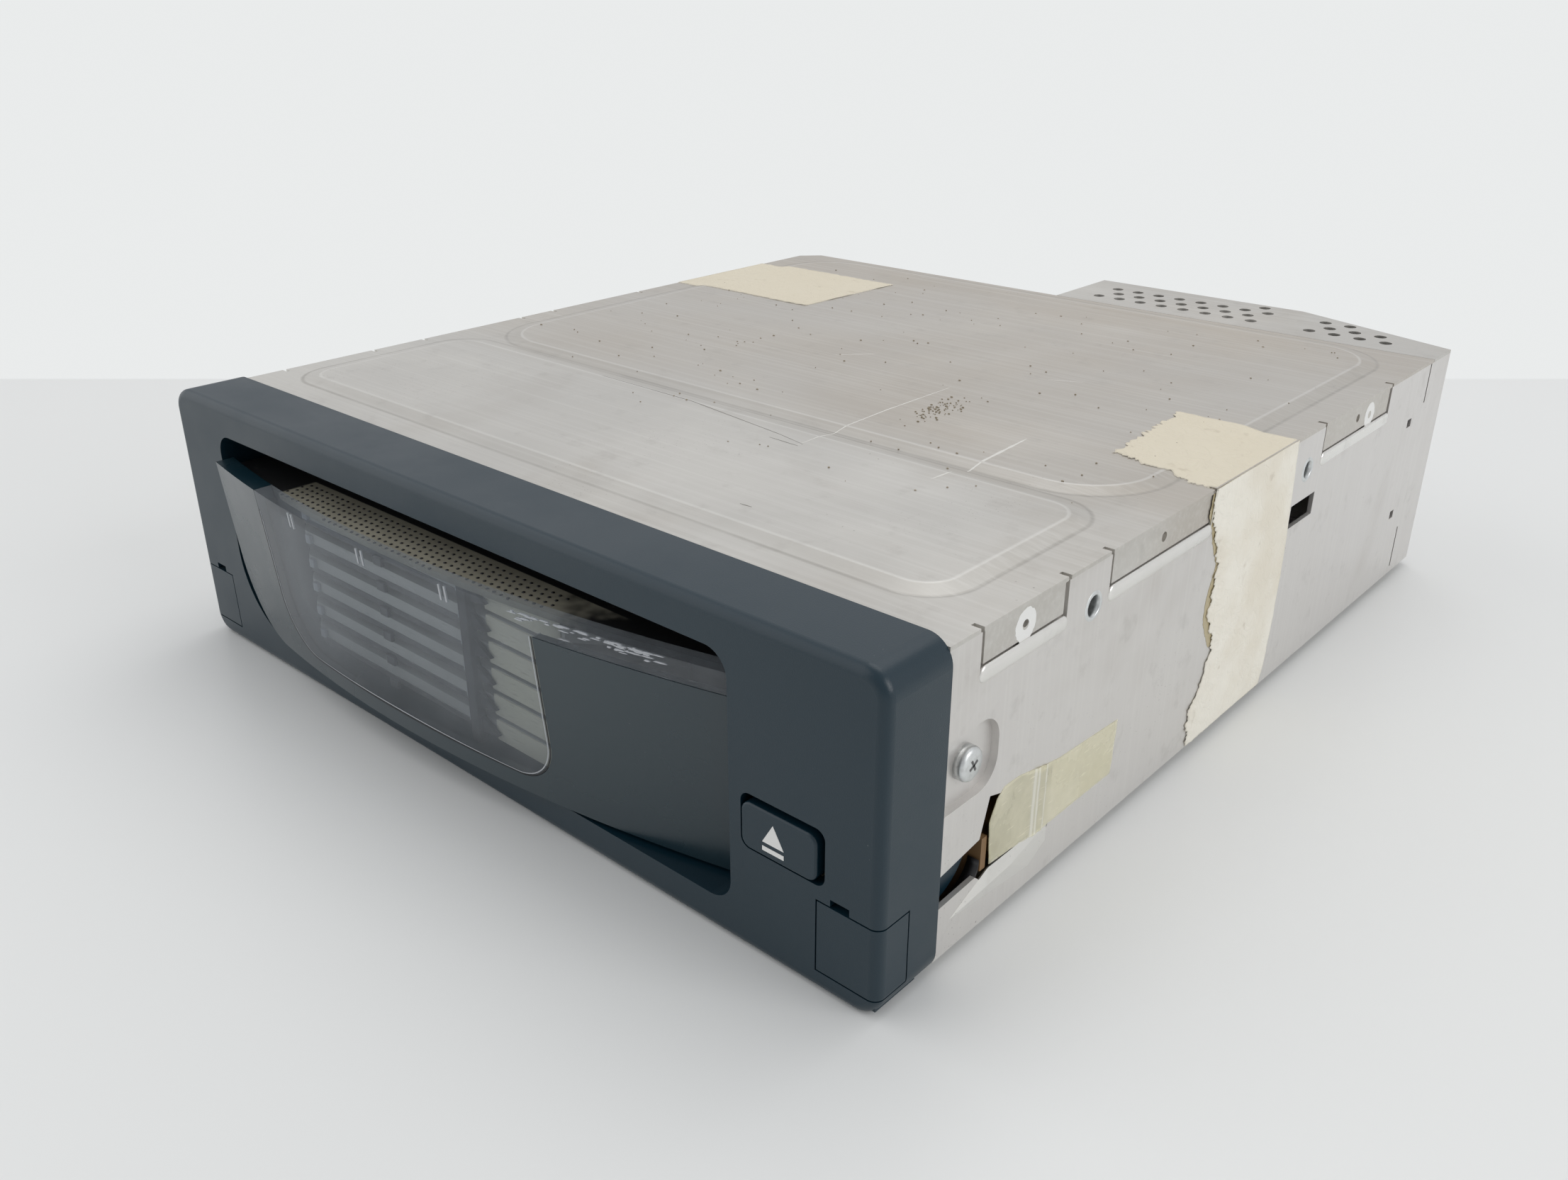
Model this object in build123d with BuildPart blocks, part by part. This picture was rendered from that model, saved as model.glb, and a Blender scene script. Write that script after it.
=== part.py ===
from build123d import *
import os
from math import radians, sin, cos, tan, pi

# A trunk-mounted car CD changer: a sheet-metal box behind a plastic bezel, with a
# removable magazine of six sliding disc trays and, behind it, a lift that carries
# the play deck to the tray that is pulled out.
#
# Frame: X to the right as seen from the front, Y to the back, Z up, millimetres.
# The origin is the centre of the overall box, on the surface the unit stands on.
# Depths are counted from the bezel's front face, so depth 0 is that face.

# ---------------------------------------------------------------- driving sizes
bezel_width = 219.4
bezel_height = 65.0
bezel_depth = 16.2
bezel_wall = 2.5
bezel_corner_radius = 5.0
bezel_edge_radius = 2.0

body_width = 218.0
body_top = 63.4
body_bottom = 2.2
body_depth = 237.0
body_corner_cut = 5.5
rear_reach = 30.0
rear_depth = body_depth + rear_reach
rear_left = -6.0
rear_flat_right = 61.3
rear_side_depth = body_depth + 13.0
sheet = 1.0
cover_sheet = 0.8

magazine_bulge = 8.5
gap = 0.3
running = 0.05

front_y = (magazine_bulge - rear_depth) / 2


def depth(distance):
    """Row Y of a point that lies a distance behind the bezel's front face."""
    return front_y + distance


def facing_front(distance):
    """Plane at a depth: local x is X, local y is Z, and extruding goes to the front."""
    return Plane(origin=(0, depth(distance), 0), x_dir=(1, 0, 0), z_dir=(0, -1, 0))


def level(height):
    """Horizontal plane at a height: local x and y are the row's X and Y."""
    return Plane.XY.offset(height)


def facing_side(x):
    """Plane at X: local x is the row's Y, local y is Z, and extruding goes to +X."""
    return Plane.YZ.offset(x)


def block(x_range, depth_range, z_range, mode=Mode.ADD):
    """Box between two X values, two depths and two heights."""
    centre = (sum(x_range) / 2, depth(sum(depth_range) / 2), sum(z_range) / 2)
    with Locations(centre):
        Box(x_range[1] - x_range[0], depth_range[1] - depth_range[0], z_range[1] - z_range[0], mode=mode)


def post(x, distance, z_range, radius, mode=Mode.ADD):
    """Round bar along Z at an X and a depth."""
    with Locations((x, depth(distance), sum(z_range) / 2)):
        Cylinder(radius, z_range[1] - z_range[0], mode=mode)


def bar_y(x, z, depth_range, radius, mode=Mode.ADD):
    """Round bar along Y at an X and a height."""
    with Locations(Location((x, depth(sum(depth_range) / 2), z), (90, 0, 0))):
        Cylinder(radius, depth_range[1] - depth_range[0], mode=mode)


def bar_x(distance, z, x_range, radius, mode=Mode.ADD):
    """Round bar along X at a depth and a height."""
    with Locations(Location((sum(x_range) / 2, depth(distance), z), (0, 90, 0))):
        Cylinder(radius, x_range[1] - x_range[0], mode=mode)


def rounded_rectangle(x_range, y_range, radius):
    """Rounded rectangle in the current sketch, between two pairs of coordinates."""
    with Locations((sum(x_range) / 2, sum(y_range) / 2)):
        RectangleRounded(x_range[1] - x_range[0], y_range[1] - y_range[0], radius)


def save(piece, name):
    """Label a finished piece and write it to its own file."""
    piece.part.label = name
    export_step(piece.part, f"parts/{name}.step")


os.makedirs("parts", exist_ok=True)

half_body = body_width / 2
half_bezel = bezel_width / 2
floor_top = body_bottom + sheet
wall_top = body_top - cover_sheet
side_inner = half_body - sheet

# ------------------------------------------------------------- magazine outline
magazine_left = -88.0
magazine_right = 75.0
magazine_bottom = 8.5
magazine_top = 50.0
magazine_corner_left = 18.0
magazine_corner_right = 2.5
magazine_wall = 2.0
front_radius = 390.0
front_apex_x = -20.0
front_tilt = 5.0
seam_height = 47.0
rim_top = 51.6
rim_thickness = 4.4
window_left = -63.8
window_right = 32.0
window_bottom = 12.6
window_corner_left = 13.0
window_corner_right = 10.0
window_thickness = 2.2
window_gap = 0.15

opening_clearance = 2.0
opening_top = 57.5
opening_wall = 1.8


def front_outline(inset, top):
    """Outline of the magazine's face seen from the front, moved in by an inset."""
    left = magazine_left + inset
    right = magazine_right - inset
    bottom = magazine_bottom + inset
    left_radius = magazine_corner_left - inset
    right_radius = max(magazine_corner_right - inset, 0.5)
    with BuildSketch() as outline:
        with BuildLine():
            Polyline((left + left_radius, bottom), (right - right_radius, bottom))
            RadiusArc((right - right_radius, bottom), (right, bottom + right_radius), -right_radius)
            Polyline((right, bottom + right_radius), (right, top), (left, top),
                     (left, bottom + left_radius))
            RadiusArc((left, bottom + left_radius), (left + left_radius, bottom), -left_radius)
        make_face()
    return outline.sketch


def bulged_block(inset, outline_inset, top, back):
    """Solid between the bulged front surface, moved back by an inset, and a depth."""
    surface = Plane(
        origin=(front_apex_x, depth(inset - magazine_bulge), rim_top),
        x_dir=(1, 0, 0),
        z_dir=(0, -sin(radians(front_tilt)), cos(radians(front_tilt))),
    )
    half_chord = 110.0
    sagitta = front_radius - (front_radius**2 - half_chord**2) ** 0.5
    with BuildPart() as solid:
        with BuildSketch(facing_front(-2 * magazine_bulge)):
            add(front_outline(outline_inset, top))
        extrude(amount=-(back + 2 * magazine_bulge))
        with BuildSketch(surface):
            with BuildLine():
                ThreePointArc((-half_chord, sagitta), (0, 0), (half_chord, sagitta))
                Polyline(
                    (half_chord, sagitta),
                    (half_chord, sagitta + 40),
                    (-half_chord, sagitta + 40),
                    (-half_chord, sagitta),
                )
            make_face()
        extrude(amount=2 * bezel_height, both=True, mode=Mode.INTERSECT)
    return solid.part


# ------------------------------------------------------------------------ bezel
opening_left = magazine_left - opening_clearance
opening_right = magazine_right + opening_clearance
opening_bottom = magazine_bottom - opening_clearance / 2
opening_corner = 5.0

button_left = 80.0
button_right = 96.7
button_bottom = 22.0
button_top = 31.2
button_corner = 3.0
button_head = 6.0
button_slot = 1.6
button_travel = 1.5
stem_radius = 2.5
stem_x = (button_left + button_right) / 2
stem_z = (button_bottom + button_top) / 2
stem_end = 19.0
guide_front = 12.0
guide_thickness = 2.0

cap_left = 96.7
cap_bottom = 4.4
cap_top = 18.6
cap_depth = 7.7
cap_wall = 1.6
cap_travel = 15.0
pocket_floor = 10.0
pry_left = 99.5
pry_width = 4.0
pry_height = 1.4
screw_x = 103.0
screw_z = 11.5
screw_radius = 1.4
screw_head_radius = 2.8
screw_head_height = 1.8
lug_back = 29.0
lug_thickness = 1.8
lug_outer = side_inner - 1.4
lug_heights = (12.0, 26.0)
lug_curve = 11.0
lug_root = bezel_depth - 6


def bezel_block(inset):
    """Outer form of the bezel: a slab with rounded corners and a rounded front edge."""
    with BuildPart() as slab:
        with BuildSketch(facing_front(0)):
            rounded_rectangle((-half_bezel + inset, half_bezel - inset), (inset, bezel_height - inset),
                              bezel_corner_radius)
        extrude(amount=-bezel_depth)
        fillet(slab.faces().sort_by(Axis.Y)[0].edges(), radius=bezel_edge_radius)
    return slab.part


def bay_outline(margin):
    """Outline of the magazine bay, moved out by a margin."""
    left = opening_left - margin
    right = opening_right + margin
    bottom = opening_bottom - margin
    top = opening_top + margin
    big = magazine_corner_left + opening_clearance + margin
    small = opening_corner + margin
    with BuildSketch() as outline:
        with BuildLine():
            Polyline((left + big, bottom), (right - small, bottom))
            RadiusArc((right - small, bottom), (right, bottom + small), -small)
            Polyline((right, bottom + small), (right, top - small))
            RadiusArc((right, top - small), (right - small, top), -small)
            Polyline((right - small, top), (left + small, top))
            RadiusArc((left + small, top), (left, top - small), -small)
            Polyline((left, top - small), (left, bottom + big))
            RadiusArc((left, bottom + big), (left + big, bottom), -big)
        make_face()
    return outline.sketch


bezel_solid = bezel_block(0)
pocket_left = cap_left - gap
pocket_range = (cap_bottom - gap, cap_top + gap)
button_hole_right = button_right + button_slot
button_hole_top = button_top + button_slot

with BuildPart() as front_bezel:
    add(bezel_solid)
    # Hollow from the back, with a wall left round the edge.
    with BuildSketch(facing_front(bezel_depth)):
        rounded_rectangle((-half_bezel + bezel_wall, half_bezel - bezel_wall),
                          (bezel_wall, bezel_height - bezel_wall), bezel_corner_radius - 1)
    extrude(amount=bezel_depth - bezel_wall, mode=Mode.SUBTRACT)
    # Tunnel that the magazine passes through.
    with BuildSketch(facing_front(bezel_depth)):
        add(bay_outline(opening_wall))
    extrude(amount=bezel_depth - bezel_wall / 2)
    with BuildSketch(facing_front(-1)):
        add(bay_outline(0))
    extrude(amount=-(bezel_depth + 2), mode=Mode.SUBTRACT)
    # Pockets for the screw caps, each with a floor that the fixing screw pulls on.
    for side in (-1, 1):
        pocket_x = sorted((side * (pocket_left - cap_wall), side * (half_bezel - bezel_wall / 2)))
        block(pocket_x, (bezel_wall / 2, pocket_floor + 2), (bezel_wall / 2, cap_top + gap + cap_wall))
        hollow_x = sorted((side * pocket_left, side * (half_bezel + 1)))
        block(hollow_x, (-1, cap_depth + gap), pocket_range, mode=Mode.SUBTRACT)
        floor_x = sorted((side * pocket_left, side * (half_bezel - bezel_wall)))
        block(floor_x, (0, pocket_floor), (cap_bottom + cap_wall, cap_top), mode=Mode.SUBTRACT)
        bar_y(side * screw_x, screw_z, (pocket_floor - 1, pocket_floor + 3), screw_radius + gap,
              mode=Mode.SUBTRACT)
        pry_x = sorted((side * pry_left, side * (pry_left + pry_width)))
        block(pry_x, (-1, cap_wall), (cap_top, cap_top + gap + pry_height), mode=Mode.SUBTRACT)
        # Black lugs that snap in behind the side walls.
        lug_x = sorted((side * (lug_outer - lug_thickness), side * lug_outer))
        with BuildSketch(facing_side(lug_x[0])):
            with BuildLine():
                Polyline((depth(lug_root), lug_heights[0]), (depth(lug_back - lug_curve), lug_heights[0]))
                RadiusArc((depth(lug_back - lug_curve), lug_heights[0]),
                          (depth(lug_back), lug_heights[0] + lug_curve), -lug_curve)
                Polyline((depth(lug_back), lug_heights[0] + lug_curve), (depth(lug_back), lug_heights[1]),
                         (depth(lug_root), lug_heights[1]), (depth(lug_root), lug_heights[0]))
            make_face()
        extrude(amount=lug_thickness)
        block(sorted((side * (pocket_left - cap_wall), side * lug_outer)),
              (lug_root, lug_root + cap_wall), (lug_heights[0] + 3, lug_heights[1]))
    # Guide plate for the button's stem, and the button's own opening.
    block((opening_right + 1, lug_outer), (guide_front, guide_front + guide_thickness),
          (cap_top, 40))
    bar_y(stem_x, stem_z, (guide_front - 1, guide_front + 3), stem_radius + gap, mode=Mode.SUBTRACT)
    with BuildSketch(facing_front(-1)):
        rounded_rectangle((button_left - gap, button_hole_right), (button_bottom - gap, button_hole_top),
                          button_corner - 1)
    extrude(amount=-(bezel_wall + 2), mode=Mode.SUBTRACT)
save(front_bezel, "front_bezel")

for side, name in ((-1, "left_screw_cap"), (1, "right_screw_cap")):
    cap_x = sorted((side * cap_left, side * (half_bezel + 1)))
    with BuildPart() as screw_cap:
        add(bezel_solid)
        block(cap_x, (-1, cap_depth), (cap_bottom, cap_top), mode=Mode.INTERSECT)
        inner_x = sorted((side * (cap_left + cap_wall), side * (half_bezel - cap_wall)))
        block(inner_x, (cap_wall, cap_depth + 1), (cap_bottom + cap_wall, cap_top - cap_wall),
              mode=Mode.SUBTRACT)
    save(screw_cap, name)

with BuildPart() as eject_button:
    with BuildSketch(facing_front(-gap)):
        rounded_rectangle((button_left, button_right), (button_bottom, button_top), button_corner - 1)
    extrude(amount=-(button_head + gap))
    fillet(eject_button.faces().sort_by(Axis.Y)[0].edges(), radius=0.5)
    bar_y(stem_x, stem_z, (button_head - 0.5, stem_end), stem_radius)
save(eject_button, "eject_button")

spring_wire = 0.5
spring_radius = 3.4
spring_turns = 4

with BuildPart() as button_spring:
    coil_length = guide_front - button_head - spring_wire
    with BuildLine():
        coil = Helix(pitch=coil_length / spring_turns, height=coil_length, radius=spring_radius,
                     center=(stem_x, depth(button_head + spring_wire / 2), stem_z), direction=(0, 1, 0))
    with BuildSketch(Plane(origin=coil @ 0, z_dir=coil % 0)):
        Circle(spring_wire / 2)
    sweep(path=coil)
save(button_spring, "button_spring")

with BuildPart() as bezel_screws:
    for side in (-1, 1):
        bar_y(side * screw_x, screw_z, (pocket_floor, bezel_depth + sheet + 3), screw_radius)
        bar_y(side * screw_x, screw_z, (pocket_floor - screw_head_height, pocket_floor),
              screw_head_radius)
        block(sorted((side * screw_x - 2, side * screw_x + 2)),
              (pocket_floor - screw_head_height - 1, pocket_floor - screw_head_height + 0.8),
              (screw_z - 0.3, screw_z + 0.3), mode=Mode.SUBTRACT)
save(bezel_screws, "bezel_screws")

# -------------------------------------------------------------- sheet-metal box
cover_tabs_right = ((26.0, 50.4), (67.0, 106.0), (164.5, 205.0))
cover_tabs_left = ((30.0, 54.0), (72.0, 104.0), (118.0, 151.0))
tab_bottom = 56.5
tab_margin = 1.0
mount_depths = (60.8, 156.1)
mount_height = 54.3
mount_radius = 2.1
mount_collar_radius = 3.3
mount_collar_length = 1.5
damper_depth = 24.2
damper_height = 38.6
damper_recess = 1.5
recess_back = 32.4
recess_half_height = 7.0
recess_corner = 5.5
window_slot = ((150.0, 163.3), (41.5, 47.0))
rear_slots = (((224.2, 227.0), (47.4, 49.6)), ((225.4, 228.0), (21.2, 23.4)),
              ((234.6, 235.4), (4.2, 16.2)), ((234.6, 235.4), (52.0, wall_top)))
foot_x = 84.0
foot_depths = (118.0, 214.0)
foot_top_radius = 7.0
foot_radius = 5.5
connector_x = (-101.0, -88.0)
connector_z = (10.0, 24.0)
connector_length = 17.9
connector_reach = 2.4
connector_depth = (body_depth + connector_reach - connector_length, body_depth + connector_reach)
socket_depth = 11.0
flange_height = 20.0
flange_width = 12.0
cutout = ((bezel_depth, 13.0), (28.0, 13.6), (31.5, 10.5), (50.0, 9.8), (51.8, 12.0), (51.8, 25.4),
          (48.0, 25.6), (40.5, 28.4), (35.0, 27.8), (31.0, 29.0), (28.6, 21.3), (bezel_depth, 19.6))


def body_outline(inset):
    """Plan outline of the box, moved in by an inset, open to the bezel at the front."""
    side = half_body - inset
    cut = body_corner_cut
    back = body_depth - inset
    rear = rear_depth - inset
    slant = inset * 0.18
    with BuildSketch() as outline:
        with BuildLine():
            Polyline((-side, depth(bezel_depth)), (side, depth(bezel_depth)),
                     (side, depth(rear_side_depth - inset * 0.8)),
                     (rear_flat_right - slant, depth(rear)), (rear_left + inset, depth(rear)),
                     (rear_left + inset, depth(back)), (-side + cut, depth(back)),
                     (-side, depth(back - cut)), (-side, depth(bezel_depth)))
        make_face()
    return outline.sketch


with BuildPart() as steel_box:
    with BuildSketch(level(body_bottom)):
        add(body_outline(0))
    extrude(amount=wall_top - body_bottom)
    with BuildSketch(level(floor_top)):
        add(body_outline(sheet))
    extrude(amount=wall_top, mode=Mode.SUBTRACT)
    # Front flanges that the bezel's two screws bite into.
    for side in (-1, 1):
        flange_x = sorted((side * (half_body - flange_width), side * (side_inner + sheet / 2)))
        block(flange_x, (bezel_depth, bezel_depth + sheet), (floor_top - sheet / 2, flange_height))
        bar_y(side * screw_x, screw_z, (bezel_depth - 1, bezel_depth + 3), screw_radius,
              mode=Mode.SUBTRACT)
        block(sorted((side * (lug_outer - lug_thickness - gap), side * (lug_outer + gap))),
              (bezel_depth - 1, bezel_depth + sheet + 1), (lug_heights[0] - gap, flange_height + 1),
              mode=Mode.SUBTRACT)
    # Wall pressed inwards behind each tab of the cover.
    for side, tabs in ((-1, cover_tabs_left), (1, cover_tabs_right)):
        for tab_front, tab_back in tabs:
            block(sorted((side * (side_inner - sheet), side * (side_inner + sheet / 2))),
                  (tab_front - 2 * tab_margin, tab_back + 2 * tab_margin),
                  (tab_bottom - 3 * tab_margin, wall_top))
            block(sorted((side * side_inner, side * (half_body + 1))),
                  (tab_front - tab_margin, tab_back + tab_margin),
                  (tab_bottom - tab_margin, wall_top + 1), mode=Mode.SUBTRACT)
    # Recess and hole for the front damper screws.
    for side in (-1, 1):
        for recess, wall, mode in ((0, sheet, Mode.ADD), (-1, 0, Mode.SUBTRACT)):
            with BuildSketch(facing_side(side * (half_body + recess * -1 - wall * 0))):
                rounded_rectangle(
                    (depth(bezel_depth - 8), depth(recess_back + wall)),
                    (damper_height - recess_half_height - wall, damper_height + recess_half_height + wall),
                    recess_corner)
                with Locations((depth(bezel_depth - 10), damper_height)):
                    Rectangle(20, 4 * recess_half_height, mode=Mode.SUBTRACT)
            extrude(amount=-side * (damper_recess + wall - recess), mode=mode)
        bar_x(damper_depth, damper_height, sorted((side * (half_body - 8), side * half_body)),
              screw_radius + running, mode=Mode.SUBTRACT)
    # Tapped collars for the mounting brackets, two on each side.
    for side in (-1, 1):
        for mount_depth in mount_depths:
            bar_x(mount_depth, mount_height,
                  sorted((side * (side_inner - mount_collar_length), side * side_inner)),
                  mount_collar_radius)
            bar_x(mount_depth, mount_height, sorted((side * (side_inner - 3), side * (half_body + 1))),
                  mount_radius, mode=Mode.SUBTRACT)
    # Openings in the right wall.
    with BuildSketch(facing_side(half_body + 1)):
        with BuildLine():
            Polyline(*[(depth(d), z) for d, z in cutout], close=True)
        make_face()
    extrude(amount=-(sheet + 2), mode=Mode.SUBTRACT)
    for slot_depths, slot_heights in (window_slot, *rear_slots):
        block((side_inner - 1, half_body + 1), slot_depths, slot_heights, mode=Mode.SUBTRACT)
    # Opening for the rear connector.
    block((connector_x[0] - gap, connector_x[1] + gap), (body_depth - 3, body_depth + 1),
          (connector_z[0] - gap, connector_z[1] + gap), mode=Mode.SUBTRACT)
    # Pressed feet that the box stands on at the back.
    for side in (-1, 1):
        for foot_depth in foot_depths:
            with Locations((side * foot_x, depth(foot_depth), body_bottom / 2)):
                Cone(foot_radius, foot_top_radius, body_bottom)
            post(side * foot_x, foot_depth, (body_bottom / 2, floor_top + 1), foot_radius - 2 * sheet,
                 mode=Mode.SUBTRACT)

# The side walls are plates of their own that stand on the floor pan.
wall_seams = ((-1, body_depth - body_corner_cut - 1, "left_side_wall"), (1, body_depth - 2, "right_side_wall"))


def wall_region(side, seam, mode):
    """Space that one side wall takes from the box, above the floor and in front of its seam."""
    block(sorted((side * (half_body - flange_width - 1), side * (half_body + 2))),
          (bezel_depth - 1, seam), (floor_top, wall_top + 1), mode=mode)


for side, seam, name in wall_seams:
    with BuildPart() as side_wall:
        add(steel_box.part)
        wall_region(side, seam, Mode.INTERSECT)
    save(side_wall, name)

with BuildPart() as lower_chassis:
    add(steel_box.part)
    for side, seam, name in wall_seams:
        wall_region(side, seam, Mode.SUBTRACT)
save(lower_chassis, "lower_chassis")

# Two raised panels stiffen the cover; their edges slope gently.
panel_rise = 0.7
panel_slope = 81.0
panels = (((-103.0, 100.0), (26.0, 82.5), 11.0), ((-101.0, 101.0), (83.5, 234.0), 20.0))
cover_back = body_depth - 0.4

with BuildPart() as top_cover:
    with BuildSketch(level(wall_top)):
        with BuildLine():
            Polyline((-half_body, depth(bezel_depth)), (half_body, depth(bezel_depth)),
                     (half_body, depth(cover_back)), (-half_body + body_corner_cut, depth(cover_back)),
                     (-half_body, depth(cover_back - body_corner_cut)), (-half_body, depth(bezel_depth)))
        make_face()
    extrude(amount=cover_sheet)
    for side, tabs in ((-1, cover_tabs_left), (1, cover_tabs_right)):
        for tab_front, tab_back in tabs:
            block(sorted((side * side_inner, side * (side_inner + cover_sheet))), (tab_front, tab_back),
                  (tab_bottom, wall_top + cover_sheet / 2))
            for notch in (tab_front - tab_margin, tab_back + tab_margin):
                block(sorted((side * (side_inner - 1), side * (half_body + 1))),
                      (notch - tab_margin / 2, notch + tab_margin / 2), (wall_top - 1, body_top + 1),
                      mode=Mode.SUBTRACT)
    for lift, mode in ((0, Mode.ADD), (-cover_sheet, Mode.SUBTRACT)):
        for panel_x, panel_depths, panel_corner in panels:
            with BuildSketch(level(body_top + lift)):
                rounded_rectangle(panel_x, (depth(panel_depths[0]), depth(panel_depths[1])), panel_corner)
            extrude(amount=panel_rise, taper=panel_slope, mode=mode)
    for tab_front, tab_back in cover_tabs_right:
        bar_x((tab_front + tab_back) / 2, (tab_bottom + wall_top) / 2, (side_inner - 1, half_body), 1.0,
              mode=Mode.SUBTRACT)
save(top_cover, "top_cover")

vent_pitch = 7.15
vent_row_pitch = 6.05
vent_radius = 1.7
vent_start = (4.3, body_depth + 8.3)
vent_rows = ((0, 8), (0.5, 7), (0, 8), (6.5, 1))
vent_side_start = 71.8
vent_side_rows = ((0, 4), (0.5, 3), (0, 2))

with BuildPart() as rear_vent_cover:
    with BuildSketch(level(wall_top)):
        with BuildLine():
            Polyline((rear_left, depth(cover_back + gap / 2)), (half_body, depth(cover_back + gap / 2)),
                     (half_body, depth(rear_side_depth)), (rear_flat_right, depth(rear_depth)),
                     (rear_left, depth(rear_depth)), (rear_left, depth(cover_back + gap / 2)))
        make_face()
    extrude(amount=cover_sheet)
    for start_x, rows in ((vent_start[0], vent_rows), (vent_side_start, vent_side_rows)):
        for row, (shift, count) in enumerate(rows):
            for hole in range(count):
                post(start_x + (shift + hole) * vent_pitch, vent_start[1] + row * vent_row_pitch,
                     (wall_top - 1, body_top + 1), vent_radius, mode=Mode.SUBTRACT)
save(rear_vent_cover, "rear_vent_cover")

# --------------------------------------------------------------- inner mechanism
disc_x = -8.0
disc_depth = 72.0
disc_radius = 60.0
frame_sheet = 1.0
frame_left = -85.5
frame_right = 69.5
frame_front = 20.0
frame_back = 233.0
frame_bottom = 4.4
frame_top = 58.0
frame_floor = frame_bottom + frame_sheet
lift_well = ((-60.0, 44.0), (137.0, 221.0))
ear_reach = 100.0
ear_depths = (18.0, 31.0)
ear_heights = (32.0, 45.0)
rear_ear_depths = (204.0, 220.0)
rear_ear_height = 14.0
rear_ear_right = 84.5
rear_ear_left = -100.5
rear_damper_x = (-93.0, 77.0)
rear_damper_depth = 212.0
damper_radius = 5.5
damper_bore = 1.5

screw_lift_x = 52.0
screw_lift_depth = 228.0
lift_screw_radius = 2.0
gear_module = 0.8
lift_gear_teeth = 30
lift_pinion_teeth = 10
gear_thickness = 3.0
gear_bottom = 6.0
lift_shelf_bottom = 9.6
lift_motor_depth = screw_lift_depth + gear_module * (lift_gear_teeth + lift_pinion_teeth) / 2
lift_motor_radius = 9.5
lift_motor_height = 22.0
post_x = (-50.0, 34.0)
post_radius = 2.0
bracket_thickness = 1.2
bracket_x = (-62.0, 60.0)

with BuildPart() as mechanism_frame:
    block((frame_left, frame_right), (frame_front, frame_back), (frame_bottom, frame_floor))
    block(lift_well[0], lift_well[1], (frame_bottom - 1, frame_floor + 1), mode=Mode.SUBTRACT)
    for wall_x in ((frame_left, frame_left + frame_sheet), (frame_right - frame_sheet, frame_right)):
        block(wall_x, (frame_front, frame_back), (frame_bottom, frame_top))
    block((frame_left, frame_right), (frame_back - frame_sheet, frame_back), (frame_bottom, frame_top))
    # Front ears, bent up, that the front dampers hold.
    for wall_x, ear_x in ((frame_left, -ear_reach), (frame_right, ear_reach)):
        web = sorted((wall_x, ear_x))
        block(web, ear_depths, (ear_heights[0], ear_heights[0] + frame_sheet))
        ear_plate = sorted((ear_x, ear_x - frame_sheet if ear_x > 0 else ear_x + frame_sheet))
        block(ear_plate, ear_depths, ear_heights)
        bar_x(damper_depth, damper_height, (ear_plate[0] - 1, ear_plate[1] + 1), damper_bore,
              mode=Mode.SUBTRACT)
    # Rear ears that rest on the rear dampers.
    for ear in ((rear_ear_left, frame_left + frame_sheet / 2), (frame_right - frame_sheet / 2, rear_ear_right)):
        block(ear, rear_ear_depths, (rear_ear_height, rear_ear_height + frame_sheet))
    # Shelf behind the rear wall for the lift motor, and room for the lift gear.
    gear_reach = gear_module * (lift_gear_teeth / 2 + 1) + 1
    block((screw_lift_x - lift_motor_radius - 2, screw_lift_x + lift_motor_radius + 2),
          (frame_back - frame_sheet, lift_motor_depth + lift_motor_radius + 1),
          (lift_shelf_bottom, lift_shelf_bottom + frame_sheet))
    block((screw_lift_x - gear_reach, screw_lift_x + gear_reach), (frame_back - 2, frame_back + 1),
          (frame_floor, lift_shelf_bottom), mode=Mode.SUBTRACT)
    post(screw_lift_x, lift_motor_depth, (lift_shelf_bottom - 1, lift_shelf_bottom + 2), 3.0,
         mode=Mode.SUBTRACT)
    post(screw_lift_x, screw_lift_depth, (frame_bottom - 1, frame_floor + 1),
         lift_screw_radius + running, mode=Mode.SUBTRACT)
save(mechanism_frame, "mechanism_frame")

with BuildPart() as rubber_dampers:
    for side in (-1, 1):
        inner_face = half_body - damper_recess - sheet
        bar_x(damper_depth, damper_height, sorted((side * ear_reach, side * inner_face)), damper_radius)
        bar_x(damper_depth, damper_height, sorted((side * (ear_reach - 1), side * half_body)),
              damper_bore, mode=Mode.SUBTRACT)
    for damper_x in rear_damper_x:
        post(damper_x, rear_damper_depth, (floor_top, rear_ear_height), damper_radius)
save(rubber_dampers, "rubber_dampers")

side_screw_head = 3.2
with BuildPart() as damper_screws:
    for side in (-1, 1):
        seat = half_body - damper_recess
        bar_x(damper_depth, damper_height, sorted((side * (ear_reach - 4), side * seat)), screw_radius)
        bar_x(damper_depth, damper_height, sorted((side * seat, side * (seat + 2.1))), side_screw_head)
        bar_x(damper_depth, damper_height, sorted((side * (seat + 1.2), side * (seat + 3))), 1.1,
              mode=Mode.SUBTRACT)
save(damper_screws, "damper_screws")

rail_ledge = 11.0
rail_wall = 1.2
rail_back = 134.0
magazine_body_left = -82.0
magazine_body_right = 66.0
magazine_back = 136.0

for side, wall_x, ledge_x, name in (
    (-1, frame_left + frame_sheet, magazine_body_left, "left_guide_rail"),
    (1, frame_right - frame_sheet, magazine_body_right, "right_guide_rail"),
):
    with BuildPart() as guide_rail:
        block(sorted((wall_x, wall_x - side * rail_wall)), (frame_front + 1, rail_back), (frame_floor, 34))
        block(sorted((wall_x, wall_x - side * rail_ledge)), (frame_front + 1, rail_back),
              (frame_floor, magazine_bottom - gap))
    save(guide_rail, name)

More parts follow.
